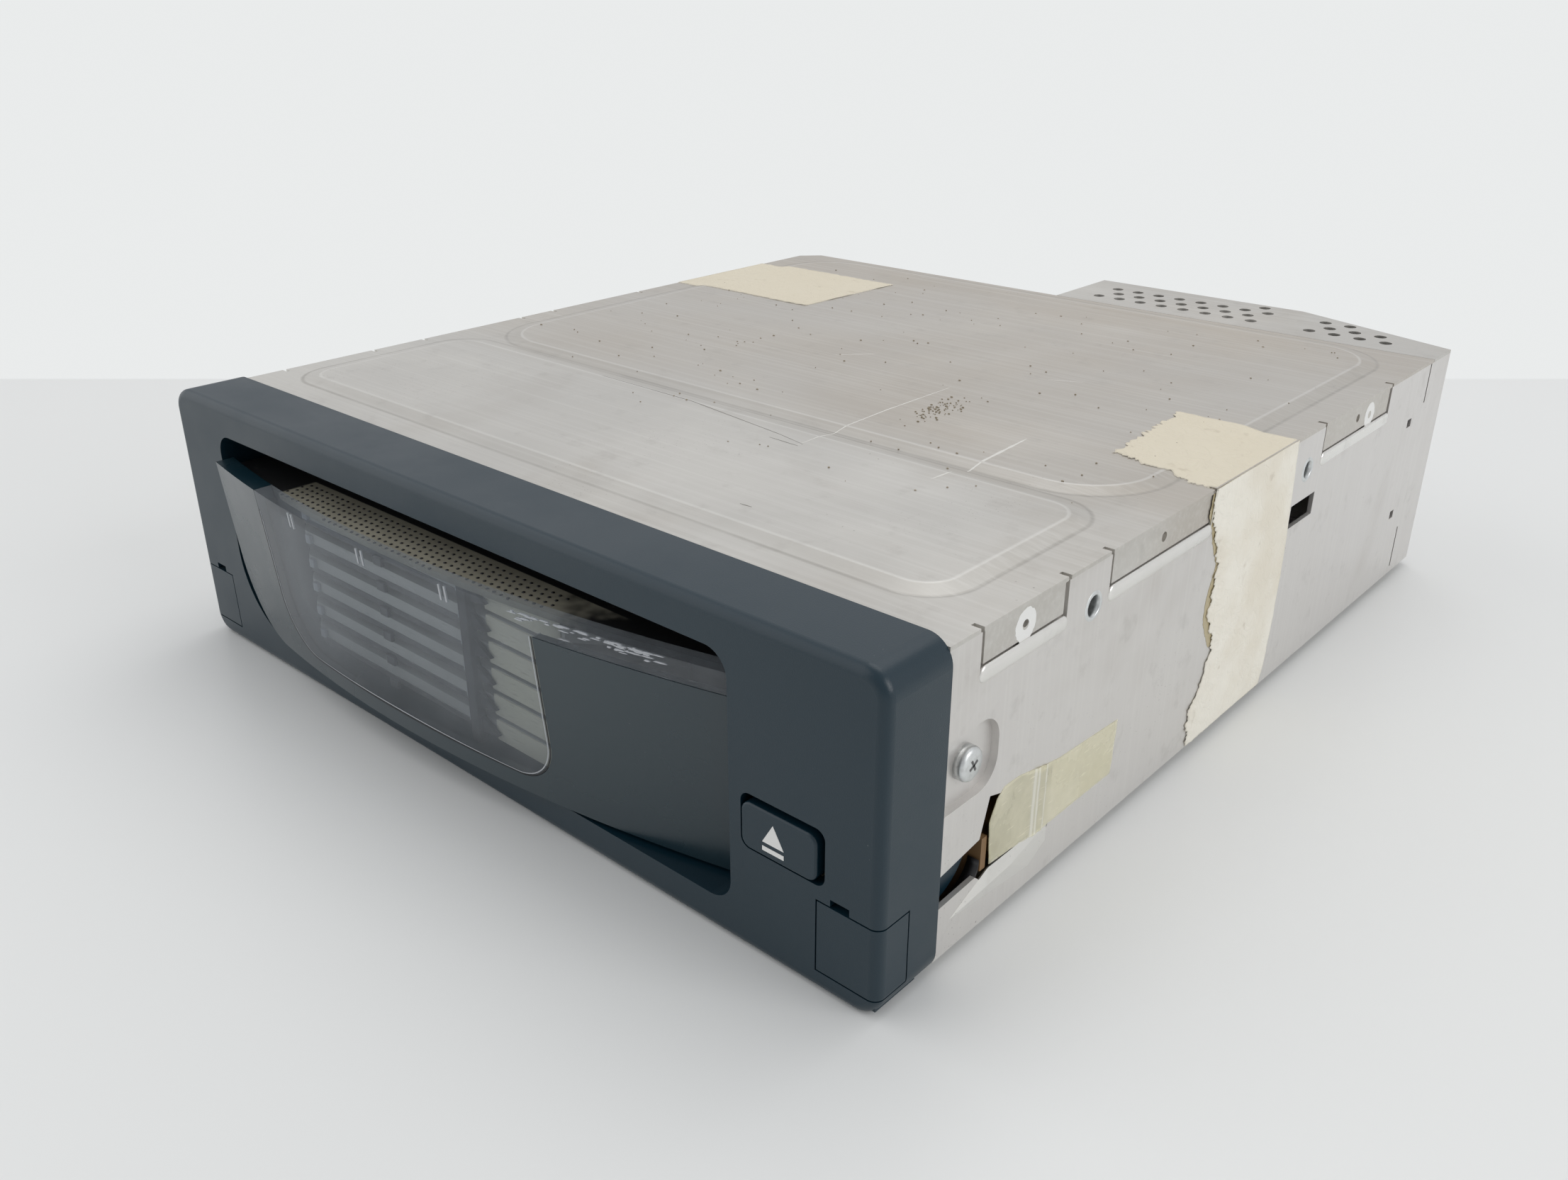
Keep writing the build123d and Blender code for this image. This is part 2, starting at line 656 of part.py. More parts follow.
leaf_depths = (70.0, 100.0)
with BuildPart() as magazine_leaf_spring:
    leaf_x = frame_left + frame_sheet
    leaf_reach = magazine_body_left - gap - leaf_x
    with BuildSketch(level(38)):
        with BuildLine():
            leaf_mid = sum(leaf_depths) / 2
            ThreePointArc((leaf_x, depth(leaf_depths[0])), (leaf_x + leaf_reach, depth(leaf_mid)),
                          (leaf_x, depth(leaf_depths[1])))
            Polyline((leaf_x, depth(leaf_depths[1])), (leaf_x, depth(leaf_depths[1] - 3)))
            ThreePointArc((leaf_x, depth(leaf_depths[1] - 3)), (leaf_x + leaf_reach - 0.4, depth(leaf_mid)),
                          (leaf_x, depth(leaf_depths[0] + 3)))
            Polyline((leaf_x, depth(leaf_depths[0] + 3)), (leaf_x, depth(leaf_depths[0])))
        make_face()
    extrude(amount=8)
save(magazine_leaf_spring, "magazine_leaf_spring")

with BuildPart() as guide_posts:
    for x in post_x:
        post(x, screw_lift_depth, (frame_floor, frame_top), post_radius)
save(guide_posts, "guide_posts")

with BuildPart() as top_bracket:
    block(bracket_x, (lift_well[1][1] + 1, frame_back), (frame_top, frame_top + bracket_thickness))
    post(screw_lift_x, screw_lift_depth, (frame_top - 1, frame_top + 2), lift_screw_radius + running,
         mode=Mode.SUBTRACT)
save(top_bracket, "top_bracket")


def gear_outline(teeth, module, phase):
    """Outline of a spur gear whose teeth are trapezoids with a little backlash."""
    pitch_radius = teeth * module / 2
    outer = pitch_radius + 0.8 * module
    root = pitch_radius - 1.15 * module
    tooth_angle = 2 * pi / teeth
    points = []
    for tooth in range(teeth):
        middle = phase + tooth * tooth_angle
        for radius, share in ((root, -0.30), (outer, -0.11), (outer, 0.11), (root, 0.30)):
            angle = middle + share * tooth_angle
            points.append((radius * cos(angle), radius * sin(angle)))
    with BuildSketch() as outline:
        with BuildLine():
            Polyline(*points, close=True)
        make_face()
    return outline.sketch


with BuildPart() as lift_screw:
    post(screw_lift_x, screw_lift_depth, (frame_bottom, frame_top + bracket_thickness), lift_screw_radius)
save(lift_screw, "lift_screw")

with BuildPart() as lift_gear:
    with BuildSketch(Plane(origin=(screw_lift_x, depth(screw_lift_depth), gear_bottom))):
        add(gear_outline(lift_gear_teeth, gear_module, pi / 2))
        Circle(lift_screw_radius, mode=Mode.SUBTRACT)
    extrude(amount=gear_thickness)
save(lift_gear, "lift_gear")

with BuildPart() as lift_pinion:
    with BuildSketch(Plane(origin=(screw_lift_x, depth(lift_motor_depth), gear_bottom))):
        add(gear_outline(lift_pinion_teeth, gear_module, -pi / 2 + pi / lift_pinion_teeth))
    extrude(amount=gear_thickness)
    post(screw_lift_x, lift_motor_depth, (gear_bottom, lift_shelf_bottom + 6), 1.0)
save(lift_pinion, "lift_pinion")

with BuildPart() as lift_motor:
    motor_base = lift_shelf_bottom + frame_sheet
    post(screw_lift_x, lift_motor_depth, (motor_base, motor_base + lift_motor_height), lift_motor_radius)
    block((screw_lift_x - 20, screw_lift_x - 8.2), (lift_motor_depth - 20, lift_motor_depth + 20),
          (motor_base - 1, motor_base + 40), mode=Mode.SUBTRACT)
    block((screw_lift_x + 8.2, screw_lift_x + 20), (lift_motor_depth - 20, lift_motor_depth + 20),
          (motor_base - 1, motor_base + 40), mode=Mode.SUBTRACT)
    post(screw_lift_x, lift_motor_depth, (motor_base - 1, motor_base + 7), 1.0 + running,
         mode=Mode.SUBTRACT)
save(lift_motor, "lift_motor")

# --------------------------------------------------------------------- magazine
tray_count = 6
tray_pitch = 5.95
tray_level = 15.9
tray_thickness = 3.0
tray_left = -74.0
tray_right = 58.0
tray_front = 1.5
tray_back = 134.0
tray_shoulders = (12.0, 16.0)
tray_nose = (-58.0, 34.0)
tray_floor = 1.3
tray_slot_half = 35.0
tray_slot_front = 52.0
tray_slot_corner = 5.0
tray_tab = (10.4, 31.0)
tray_tab_height = 5.1
tray_tab_back = 6.0
tray_travel = 80.0
disc_clearance = 0.6
rib_reach = 4.0
shell_floor = 1.5
shell_front = 10.0
shell_flange = 2.0
magazine_corner_cut = 6.0


def tray_mid(index):
    """Height of the middle of a tray, counted from the lowest."""
    return tray_level + index * tray_pitch


for index in range(tray_count):
    with BuildPart() as disc_tray:
        with BuildSketch(level(tray_mid(index) - tray_thickness / 2)):
            with BuildLine():
                Polyline((tray_nose[0], depth(tray_front)), (tray_nose[1], depth(tray_front)),
                         (tray_right, depth(tray_shoulders[1])), (tray_right, depth(tray_back)),
                         (tray_left, depth(tray_back)), (tray_left, depth(tray_shoulders[0])),
                         (tray_nose[0], depth(tray_front)))
            make_face()
        extrude(amount=tray_thickness)
        # Round recess for a disc, and the slot that the play deck rises through.
        post(disc_x, disc_depth, (tray_mid(index) - tray_thickness / 2 + tray_floor,
                                  tray_mid(index) + tray_thickness),
             disc_radius + disc_clearance, mode=Mode.SUBTRACT)
        with BuildSketch(level(tray_mid(index) - tray_thickness)):
            rounded_rectangle((disc_x - tray_slot_half, disc_x + tray_slot_half),
                              (depth(tray_slot_front), depth(tray_back + 20)), tray_slot_corner)
        extrude(amount=2 * tray_thickness, mode=Mode.SUBTRACT)
        # Tall tab at the front right that shows through the window.
        block(tray_tab, (tray_front, tray_front + tray_tab_back),
              (tray_mid(index) - tray_tab_height / 2, tray_mid(index) + tray_tab_height / 2))
    save(disc_tray, f"disc_tray_{index + 1}")

with BuildPart() as magazine_lower_shell:
    block((magazine_body_left, magazine_body_right), (shell_front, magazine_back),
          (magazine_bottom, magazine_bottom + shell_floor))
    for wall_x, rib_x in (((magazine_body_left, tray_left - gap), (tray_left - gap - 1, tray_left + rib_reach)),
                          ((tray_right + gap, magazine_body_right),
                           (tray_right - rib_reach, tray_right + gap + 1))):
        block(wall_x, (shell_front, magazine_back), (magazine_bottom, magazine_top - shell_floor))
        for index in range(tray_count + 1):
            rib_mid = tray_mid(index) - tray_pitch / 2
            rib_half = (tray_pitch - tray_thickness) / 2 - gap
            rib_top = min(rib_mid + rib_half, magazine_top - shell_floor)
            block(rib_x, (shell_front + 8, magazine_back), (rib_mid - rib_half, rib_top))
    long_edges = magazine_lower_shell.edges().filter_by(Axis.Y).group_by(Axis.Z)[0]
    chamfer(long_edges.sort_by(Axis.X)[0], magazine_corner_cut)
    # Front flange that the face moulding sits against.
    with BuildSketch(facing_front(shell_front)):
        add(front_outline(0, magazine_top - shell_floor))
    extrude(amount=-shell_flange)
    block((tray_left - gap, tray_right + gap), (shell_front - 1, shell_front + 8),
          (magazine_bottom + shell_floor, magazine_top), mode=Mode.SUBTRACT)
save(magazine_lower_shell, "magazine_lower_shell")

with BuildPart() as magazine_upper_shell:
    add(bulged_block(rim_thickness + 0.4, 0.4, magazine_top, shell_front + shell_flange))
    block((magazine_left - 1, magazine_right + 1), (-20, shell_front + shell_flange + 1),
          (magazine_top - shell_floor, magazine_top + 1), mode=Mode.INTERSECT)
    block((magazine_body_left, magazine_body_right), (shell_front, magazine_back),
          (magazine_top - shell_floor, magazine_top))
    with BuildSketch(level(magazine_top - 5)):
        rounded_rectangle((disc_x - tray_slot_half, disc_x + tray_slot_half),
                          (depth(magazine_back - 18), depth(magazine_back + 20)), tray_slot_corner)
    extrude(amount=10, mode=Mode.SUBTRACT)
save(magazine_upper_shell, "magazine_upper_shell")


def window_outline(grow):
    """Outline of the clear window and of its rim, which runs to the right end."""
    left = window_left - grow
    right = window_right + grow
    bottom = window_bottom - grow
    big = window_corner_left + grow
    small = window_corner_right + grow
    rim_right = magazine_right - 0.3 + grow
    rim_bottom = seam_height - grow
    with BuildSketch() as outline:
        with BuildLine():
            Polyline((left + big, bottom), (right - small, bottom))
            RadiusArc((right - small, bottom), (right, bottom + small), -small)
            Polyline((right, bottom + small), (right, rim_bottom), (rim_right, rim_bottom),
                     (rim_right, rim_top + grow), (left, rim_top + grow), (left, bottom + big))
            RadiusArc((left, bottom + big), (left + big, bottom), -big)
        make_face()
    return outline.sketch


face_outer = bulged_block(0, 0, rim_top, shell_front)
face_inner = bulged_block(magazine_wall, magazine_wall, magazine_top - shell_floor - 0.1, shell_front + 1)
window_inner = bulged_block(window_thickness, -1, seam_height, shell_front + 1)
rim_inner = bulged_block(rim_thickness, -1, rim_top + 1, shell_front + 1)

with BuildPart() as ledge_cut:
    add(rim_inner)
    block((magazine_left - 2, magazine_right + 2), (-20, 20), (magazine_top - shell_floor, rim_top + 2),
          mode=Mode.INTERSECT)

with BuildPart() as magazine_front:
    add(face_outer)
    add(face_inner, mode=Mode.SUBTRACT)
    with BuildSketch(facing_front(-20)):
        add(window_outline(window_gap))
    extrude(amount=-40, mode=Mode.SUBTRACT)
    block((window_left - window_gap, magazine_right + 1), (-20, 20), (seam_height - window_gap, rim_top + 1),
          mode=Mode.SUBTRACT)
    # The left end of the rim is part of this moulding and stops at the ledge.
    add(ledge_cut.part, mode=Mode.SUBTRACT)
save(magazine_front, "magazine_front")

with BuildPart() as magazine_window:
    add(bulged_block(0, -1, rim_top, shell_front - gap))
    with BuildSketch(facing_front(-20)):
        add(window_outline(0))
    extrude(amount=-40, mode=Mode.INTERSECT)
    add(window_inner, mode=Mode.SUBTRACT)
    add(rim_inner, mode=Mode.SUBTRACT)
save(magazine_window, "magazine_window")

# ------------------------------------------------------- lift carriage and deck
lift_travel = (tray_count - 1) * tray_pitch
carriage_x = (-58.0, 66.0)
carriage_z = (10.5, 21.0)
carriage_front = 223.0
carriage_back = 226.0
bush_radius = 3.5
mast_x = (-24.0, 8.0)
mast_top = 27.5
arm_x = (59.5, 65.0)
arm_z = (11.0, 15.0)
arm_front = 138.0
deck_x = (-40.0, 24.0)
deck_z = (10.8, 12.0)
deck_front = 138.0
deck_window = ((-28.0, 12.0), (165.5, 221.0))
spindle_depth = disc_depth + tray_travel
turntable_radius = 13.0
turntable_z = (13.4, 15.2)
cone_height = 1.8
cone_radii = (7.3, 5.2)
shaft_radius = 1.5
spindle_motor_radius = 11.0
spindle_motor_bottom = 5.8
rod_x = (-24.0, 8.0)
rod_z = 9.2
rod_radius = 1.5
rod_front = 162.0
sled_depths = (166.0, 184.0)
sled_x = (-26.5, 10.5)
sled_z = (6.8, 12.6)
sled_travel = 36.0
lens_depth = 174.0
lens_radius = 2.4
sled_screw_x = 18.0
sled_screw_z = 8.5
sled_screw_radius = 1.5
sled_motor_radius = 4.0
sled_motor_depths = (148.0, 164.0)
sled_nut_depths = (170.0, 178.0)
clamp_pivot = (218.0, 23.6)
clamp_pin_radius = 1.5
clamp_sleeve_radius = 2.8
clamp_arm_x = (-16.0, 0.0)
clamp_arm_z = (21.2, 22.4)
clamp_front = 144.0
puck_radius = 11.0
puck_z = (17.6, 20.4)
puller_x = (58.6, 65.5)
puller_depths = (138.4, 144.4)
puller_top = 19.0

with BuildPart() as lift_carriage:
    block(carriage_x, (carriage_front, carriage_back), carriage_z)
    block(mast_x, (carriage_front, carriage_back), (carriage_z[0], mast_top))
    for x in post_x:
        post(x, screw_lift_depth, carriage_z, bush_radius)
    post(screw_lift_x, screw_lift_depth, carriage_z, bush_radius)
    for x in (*post_x, screw_lift_x):
        post(x, screw_lift_depth, (carriage_z[0] - 1, carriage_z[1] + 1), post_radius + running,
             mode=Mode.SUBTRACT)
    # Lugs for the clamp arm's pin.
    for lug_x in ((mast_x[0], mast_x[0] + 3), (mast_x[1] - 3, mast_x[1])):
        block(lug_x, (clamp_pivot[0] - 3.5, carriage_front + 1), (clamp_pivot[1] - 4, mast_top))
    bar_x(clamp_pivot[0], clamp_pivot[1], (mast_x[0] - 1, mast_x[1] + 1), clamp_pin_radius,
          mode=Mode.SUBTRACT)
    # Side arm that the tray puller runs along.
    block(arm_x, (arm_front, carriage_back), arm_z)
save(lift_carriage, "lift_carriage")

with BuildPart() as play_deck:
    block(deck_x, (deck_front, carriage_front), deck_z)
    block(deck_window[0], deck_window[1], (deck_z[0] - 1, deck_z[1] + 1), mode=Mode.SUBTRACT)
    for x in rod_x:
        block((x - 3, x + 3), (rod_front - 0.6, deck_window[1][0]), (sled_z[0], deck_z[0] + 0.5))
        bar_y(x, rod_z, (rod_front - 2, deck_window[1][0] + 1), rod_radius, mode=Mode.SUBTRACT)
    # Notch for the sled motor, and the lug that carries it.
    block((sled_screw_x - sled_motor_radius - 0.6, deck_x[1] + 1),
          (sled_motor_depths[0] - 1, sled_motor_depths[1]), (deck_z[0] - 1, deck_z[1] + 1),
          mode=Mode.SUBTRACT)
    block((sled_screw_x - sled_motor_radius, deck_x[1]), (sled_motor_depths[1], sled_motor_depths[1] + 2),
          (sled_screw_z - sled_motor_radius, deck_z[1]))
    bar_y(sled_screw_x, sled_screw_z, (sled_motor_depths[1] - 1, sled_motor_depths[1] + 3),
          sled_screw_radius + running, mode=Mode.SUBTRACT)
    post(disc_x, spindle_depth, (deck_z[0] - 1, deck_z[1] + 1), shaft_radius + gap, mode=Mode.SUBTRACT)
save(play_deck, "play_deck")

with BuildPart() as spindle_motor:
    post(disc_x, spindle_depth, (spindle_motor_bottom, deck_z[0]), spindle_motor_radius)
    block((disc_x - 20, disc_x + 20), (rod_front - 1, rod_front + 10), (0, 20), mode=Mode.SUBTRACT)
    post(disc_x, spindle_depth, (spindle_motor_bottom + 1, deck_z[0] + 1), shaft_radius + running,
         mode=Mode.SUBTRACT)
save(spindle_motor, "spindle_motor")

with BuildPart() as turntable:
    post(disc_x, spindle_depth, turntable_z, turntable_radius)
    with Locations((disc_x, depth(spindle_depth), turntable_z[1] + cone_height / 2)):
        Cone(cone_radii[0], cone_radii[1], cone_height)
    post(disc_x, spindle_depth, (spindle_motor_bottom + 1 + gap, turntable_z[0] + 0.5), shaft_radius)
save(turntable, "turntable")

with BuildPart() as sled_rods:
    for x in rod_x:
        bar_y(x, rod_z, (rod_front, carriage_front), rod_radius)
save(sled_rods, "sled_rods")

with BuildPart() as sled_screw:
    bar_y(sled_screw_x, sled_screw_z, (sled_motor_depths[1] - 3, carriage_front - gap), sled_screw_radius)
save(sled_screw, "sled_screw")

with BuildPart() as sled_motor:
    bar_y(sled_screw_x, sled_screw_z, sled_motor_depths, sled_motor_radius)
    bar_y(sled_screw_x, sled_screw_z, (sled_motor_depths[1] - 4, sled_motor_depths[1] + 1),
          sled_screw_radius + running, mode=Mode.SUBTRACT)
save(sled_motor, "sled_motor")

with BuildPart() as pickup_sled:
    block(sled_x, sled_depths, (sled_z[0], sled_z[1] - 2.2))
    block((disc_x - 9, disc_x + 9), (lens_depth - 6, lens_depth + 9), sled_z)
    block((sled_x[1] - 1, sled_screw_x + 2.6), sled_nut_depths, (6.2, 10.4))
    for x in rod_x:
        bar_y(x, rod_z, (sled_depths[0] - 1, sled_depths[1] + 1), rod_radius + running,
              mode=Mode.SUBTRACT)
    bar_y(sled_screw_x, sled_screw_z, (sled_nut_depths[0] - 1, sled_nut_depths[1] + 1),
          sled_screw_radius + running, mode=Mode.SUBTRACT)
save(pickup_sled, "pickup_sled")

with BuildPart() as pickup_lens:
    post(disc_x, lens_depth, (sled_z[1], sled_z[1] + 0.7), lens_radius + 1.4)
    post(disc_x, lens_depth, (sled_z[1], sled_z[1] + 1.3), lens_radius)
save(pickup_lens, "pickup_lens")

with BuildPart() as clamp_pin:
    bar_x(clamp_pivot[0], clamp_pivot[1], mast_x, clamp_pin_radius)
save(clamp_pin, "clamp_pin")

with BuildPart() as clamp_arm:
    block(clamp_arm_x, (clamp_front, clamp_pivot[0] - 1), clamp_arm_z)
    for side in (0, 1):
        edge = clamp_arm_x[side]
        block(sorted((edge, edge + (1.2 if side == 0 else -1.2))),
              (clamp_front + 24, clamp_pivot[0] - 1), (clamp_arm_z[0], clamp_arm_z[1] + 2))
    bar_x(clamp_pivot[0], clamp_pivot[1], (mast_x[0] + 3.3, mast_x[1] - 3.3), clamp_sleeve_radius)
    bar_x(clamp_pivot[0], clamp_pivot[1], mast_x, clamp_pin_radius + running, mode=Mode.SUBTRACT)
    post(disc_x, spindle_depth, (clamp_arm_z[0] - 1, clamp_arm_z[1] + 1), shaft_radius + running,
         mode=Mode.SUBTRACT)
save(clamp_arm, "clamp_arm")

with BuildPart() as clamp_puck:
    post(disc_x, spindle_depth, puck_z, puck_radius)
    with Locations((disc_x, depth(spindle_depth), puck_z[0] + 0.4)):
        Cone(cone_radii[1] - 0.4, cone_radii[1] - 1, 0.8, mode=Mode.SUBTRACT)
    post(disc_x, spindle_depth, (puck_z[1] - 0.5, clamp_arm_z[1] + 0.5), shaft_radius)
    post(disc_x, spindle_depth, (clamp_arm_z[1] + gap, clamp_arm_z[1] + gap + 0.8), shaft_radius + 1.5)
save(clamp_puck, "clamp_puck")

with BuildPart() as tray_puller:
    block(puller_x, puller_depths, (arm_z[1] + running, puller_top))
    block((arm_x[0] - 1, arm_x[0] - gap), puller_depths, (arm_z[0], arm_z[1] + 1))
save(tray_puller, "tray_puller")

ejector_x = (-84.2, -75.0)
ejector_depths = (148.0, 200.0)
ejector_z = (30.0, 38.0)
ejector_travel = ejector_depths[0] - magazine_back - gap
shelf_thickness = 1.2
with BuildPart() as magazine_ejector:
    block(ejector_x, ejector_depths, ejector_z)
    block((ejector_x[0] + 2, ejector_x[1] + 1), (ejector_depths[0] + 6, ejector_depths[1] - 4),
          (ejector_z[0] + 2, ejector_z[1] + 1), mode=Mode.SUBTRACT)
save(magazine_ejector, "magazine_ejector")

with BuildPart() as ejector_guide:
    block((frame_left + frame_sheet, ejector_x[1]),
          (ejector_depths[0] - ejector_travel, ejector_depths[1]),
          (ejector_z[0] - gap - shelf_thickness, ejector_z[0] - gap))
    block((frame_left + frame_sheet, ejector_x[0] + 0.0 - 0.1),
          (ejector_depths[0] - ejector_travel, ejector_depths[1]), (ejector_z[0] - 6, ejector_z[0]))
save(ejector_guide, "ejector_guide")

# ---------------------------------------------------------------- electronics
board_thickness = 1.6
front_board_depth = 30.0
front_board_x = (79.0, 105.9)
front_board_top = 32.0
board_tab_reach = half_body - 0.4
board_tab_heights = (13.6, 20.4)
main_board_x = (71.5, 107.0)
main_board_depths = (42.0, 200.0)
main_board_bottom = 7.0
spacer_radius = 2.6
switch_depths = (21.6, front_board_depth)

with BuildPart() as front_board:
    block(front_board_x, (front_board_depth, front_board_depth + board_thickness),
          (floor_top, front_board_top))
    block((front_board_x[0] - 1, frame_right + 12), (front_board_depth - 1, front_board_depth + 5),
          (front_board_top - 2, front_board_top + 1), mode=Mode.SUBTRACT)
    # Tab that reaches into the opening of the side wall.
    block((front_board_x[1] - 1, board_tab_reach), (front_board_depth, front_board_depth + board_thickness),
          board_tab_heights)
save(front_board, "front_board")

with BuildPart() as eject_switch:
    block((stem_x - 4.5, stem_x + 4.5), (switch_depths[0] + 2, switch_depths[1]), (stem_z - 4, stem_z + 4))
    bar_y(stem_x, stem_z, (stem_end + button_travel + gap, switch_depths[0] + 2.5), 1.6)
save(eject_switch, "eject_switch")

screw_places = [(x, d) for x in (main_board_x[0] + 5, main_board_x[1] - 5)
                for d in (main_board_depths[0] + 6, main_board_depths[1] - 6)]
with BuildPart() as main_board:
    block(main_board_x, main_board_depths, (main_board_bottom, main_board_bottom + board_thickness))
    for x, d in screw_places:
        post(x, d, (main_board_bottom - 1, main_board_bottom + 3), screw_radius + running,
             mode=Mode.SUBTRACT)
save(main_board, "main_board")

with BuildPart() as board_spacers:
    for x, d in screw_places:
        post(x, d, (floor_top, main_board_bottom), spacer_radius)
        post(x, d, (floor_top - 1, main_board_bottom + 1), screw_radius + running, mode=Mode.SUBTRACT)
save(board_spacers, "board_spacers")

board_top = main_board_bottom + board_thickness
with BuildPart() as board_screws:
    for x, d in screw_places:
        post(x, d, (floor_top + 0.5, board_top), screw_radius)
        post(x, d, (board_top, board_top + 1.8), screw_head_radius)
save(board_screws, "board_screws")

capacitors = ((80.0, 70.0, 5.0, 20.0), (92.0, 70.0, 5.0, 20.0), (99.0, 84.0, 4.0, 16.0),
              (80.0, 86.0, 4.0, 12.0), (99.0, 170.0, 5.0, 22.0))
chips = ((86.0, 112.0, 14.0, 14.0, 2.4), (88.0, 136.0, 20.0, 12.0, 2.4), (84.0, 158.0, 10.0, 10.0, 2.0),
         (96.0, 98.0, 7.0, 5.0, 2.0), (86.0, 180.0, 8.0, 16.0, 7.0))
with BuildPart() as board_components:
    for x, d, radius, height in capacitors:
        post(x, d, (board_top, board_top + height), radius)
    for x, d, width, length, height in chips:
        block((x - width / 2, x + width / 2), (d - length / 2, d + length / 2),
              (board_top, board_top + height))
save(board_components, "board_components")

with BuildPart() as rear_connector:
    block(connector_x, (connector_depth[0], connector_depth[1]), connector_z)
    block((connector_x[0] - 1.5, connector_x[1] + 1.5),
          (body_depth - sheet - 1.5, body_depth - sheet), (connector_z[0] - 1.5, connector_z[1] + 1.5))
    block((connector_x[0] + 1.5, connector_x[1] - 1.5), (connector_depth[1] - socket_depth, connector_depth[1] + 1),
          (connector_z[0] + 1.5, connector_z[1] - 1.5), mode=Mode.SUBTRACT)
save(rear_connector, "rear_connector")

with BuildPart() as connector_pins:
    for row in range(2):
        for column in range(4):
            bar_y(connector_x[0] + 2.6 + column * 2.6, connector_z[0] + 4 + row * 6,
                  (connector_depth[1] - socket_depth, connector_depth[1] - 2), 0.5)
save(connector_pins, "connector_pins")

ribbon_x = (84.0, 98.0)
ribbon_thickness = 0.4
ribbon_bend = 5.0
with BuildPart() as ribbon_cable:
    back = front_board_depth + board_thickness
    end = main_board_depths[0] + 5
    low = board_top
    high = board_top + ribbon_bend + ribbon_thickness
    with BuildSketch(facing_side(ribbon_x[0])):
        with BuildLine():
            Polyline((depth(back), high), (depth(back + ribbon_bend), high))
            RadiusArc((depth(back + ribbon_bend), high),
                      (depth(back + 2 * ribbon_bend), high - ribbon_bend), ribbon_bend)
            Polyline((depth(back + 2 * ribbon_bend), high - ribbon_bend),
                     (depth(end), high - ribbon_bend), (depth(end), low),
                     (depth(back + 2 * ribbon_bend - ribbon_thickness), low),
                     (depth(back + 2 * ribbon_bend - ribbon_thickness), high - ribbon_bend))
            RadiusArc((depth(back + 2 * ribbon_bend - ribbon_thickness), high - ribbon_bend),
                      (depth(back + ribbon_bend), high - ribbon_thickness),
                      -(ribbon_bend - ribbon_thickness))
            Polyline((depth(back + ribbon_bend), high - ribbon_thickness),
                     (depth(back), high - ribbon_thickness), (depth(back), high))
        make_face()
    extrude(amount=ribbon_x[1] - ribbon_x[0])
save(ribbon_cable, "ribbon_cable")

# ------------------------------------------------------------ paper and tape
paper = 0.2
side_seal_top = ((83.9, 111.0), (81.3, 146.7))
side_seal_depths = (107.6, 149.6)
side_seal_bottom = 2.6
top_seal = ((-54.6, 171.0), (-52.8, 211.0))
top_seal_depths = (170.0, 212.0)
top_seal_bottom = 46.0
panel_top = body_top + panel_rise
tape_edge = ((34.0, 12.4), (50.0, 9.9), (75.0, 9.4), (76.5, 24.4), (50.0, 25.2), (34.0, 27.6))

with BuildPart() as paper_seal_side:
    with BuildSketch(level(panel_top)):
        with BuildLine():
            Polyline((side_seal_top[0][0], depth(side_seal_top[0][1])),
                     (side_seal_top[1][0], depth(side_seal_top[1][1])),
                     (half_body + paper, depth(side_seal_depths[1])),
                     (half_body + paper, depth(side_seal_depths[0])),
                     (side_seal_top[0][0], depth(side_seal_top[0][1])))
        make_face()
    extrude(amount=paper)
    block((half_body, half_body + paper), side_seal_depths, (side_seal_bottom, panel_top + paper))
save(paper_seal_side, "paper_seal_side")

with BuildPart() as paper_seal_top:
    with BuildSketch(level(panel_top)):
        with BuildLine():
            Polyline((-half_body - paper, depth(top_seal_depths[0])), (top_seal[0][0], depth(top_seal[0][1])),
                     (top_seal[1][0], depth(top_seal[1][1])),
                     (-half_body - paper, depth(top_seal_depths[1])),
                     (-half_body - paper, depth(top_seal_depths[0])))
        make_face()
    extrude(amount=paper)
    block((-half_body - paper, -half_body), top_seal_depths, (top_seal_bottom, panel_top + paper))
save(paper_seal_top, "paper_seal_top")

with BuildPart() as clear_tape:
    with BuildSketch(facing_side(half_body)):
        with BuildLine():
            Polyline(*[(depth(d), z) for d, z in tape_edge], close=True)
        make_face()
    extrude(amount=paper)
save(clear_tape, "clear_tape")
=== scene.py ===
"""Dresses a car disc changer: worn black bezel, smoky magazine and a stained steel box."""

import logging
import math
import random
from dataclasses import dataclass, field
from enum import Enum

import bmesh
import bpy
from mathutils import Matrix, Vector
from mathutils.bvhtree import BVHTree

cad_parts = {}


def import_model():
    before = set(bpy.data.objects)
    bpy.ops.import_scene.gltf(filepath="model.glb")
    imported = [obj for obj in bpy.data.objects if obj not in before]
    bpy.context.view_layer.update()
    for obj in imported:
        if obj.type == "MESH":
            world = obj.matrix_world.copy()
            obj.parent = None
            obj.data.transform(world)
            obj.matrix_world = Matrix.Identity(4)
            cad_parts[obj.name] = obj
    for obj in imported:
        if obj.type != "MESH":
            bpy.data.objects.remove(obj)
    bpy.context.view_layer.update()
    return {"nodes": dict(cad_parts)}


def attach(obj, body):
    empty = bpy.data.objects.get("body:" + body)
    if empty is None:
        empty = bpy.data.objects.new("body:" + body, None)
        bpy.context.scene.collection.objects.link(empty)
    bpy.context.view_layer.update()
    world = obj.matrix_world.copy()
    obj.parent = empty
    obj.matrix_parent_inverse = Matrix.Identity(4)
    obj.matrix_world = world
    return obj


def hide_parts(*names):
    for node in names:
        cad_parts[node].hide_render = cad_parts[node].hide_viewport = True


log = logging.getLogger("changer")

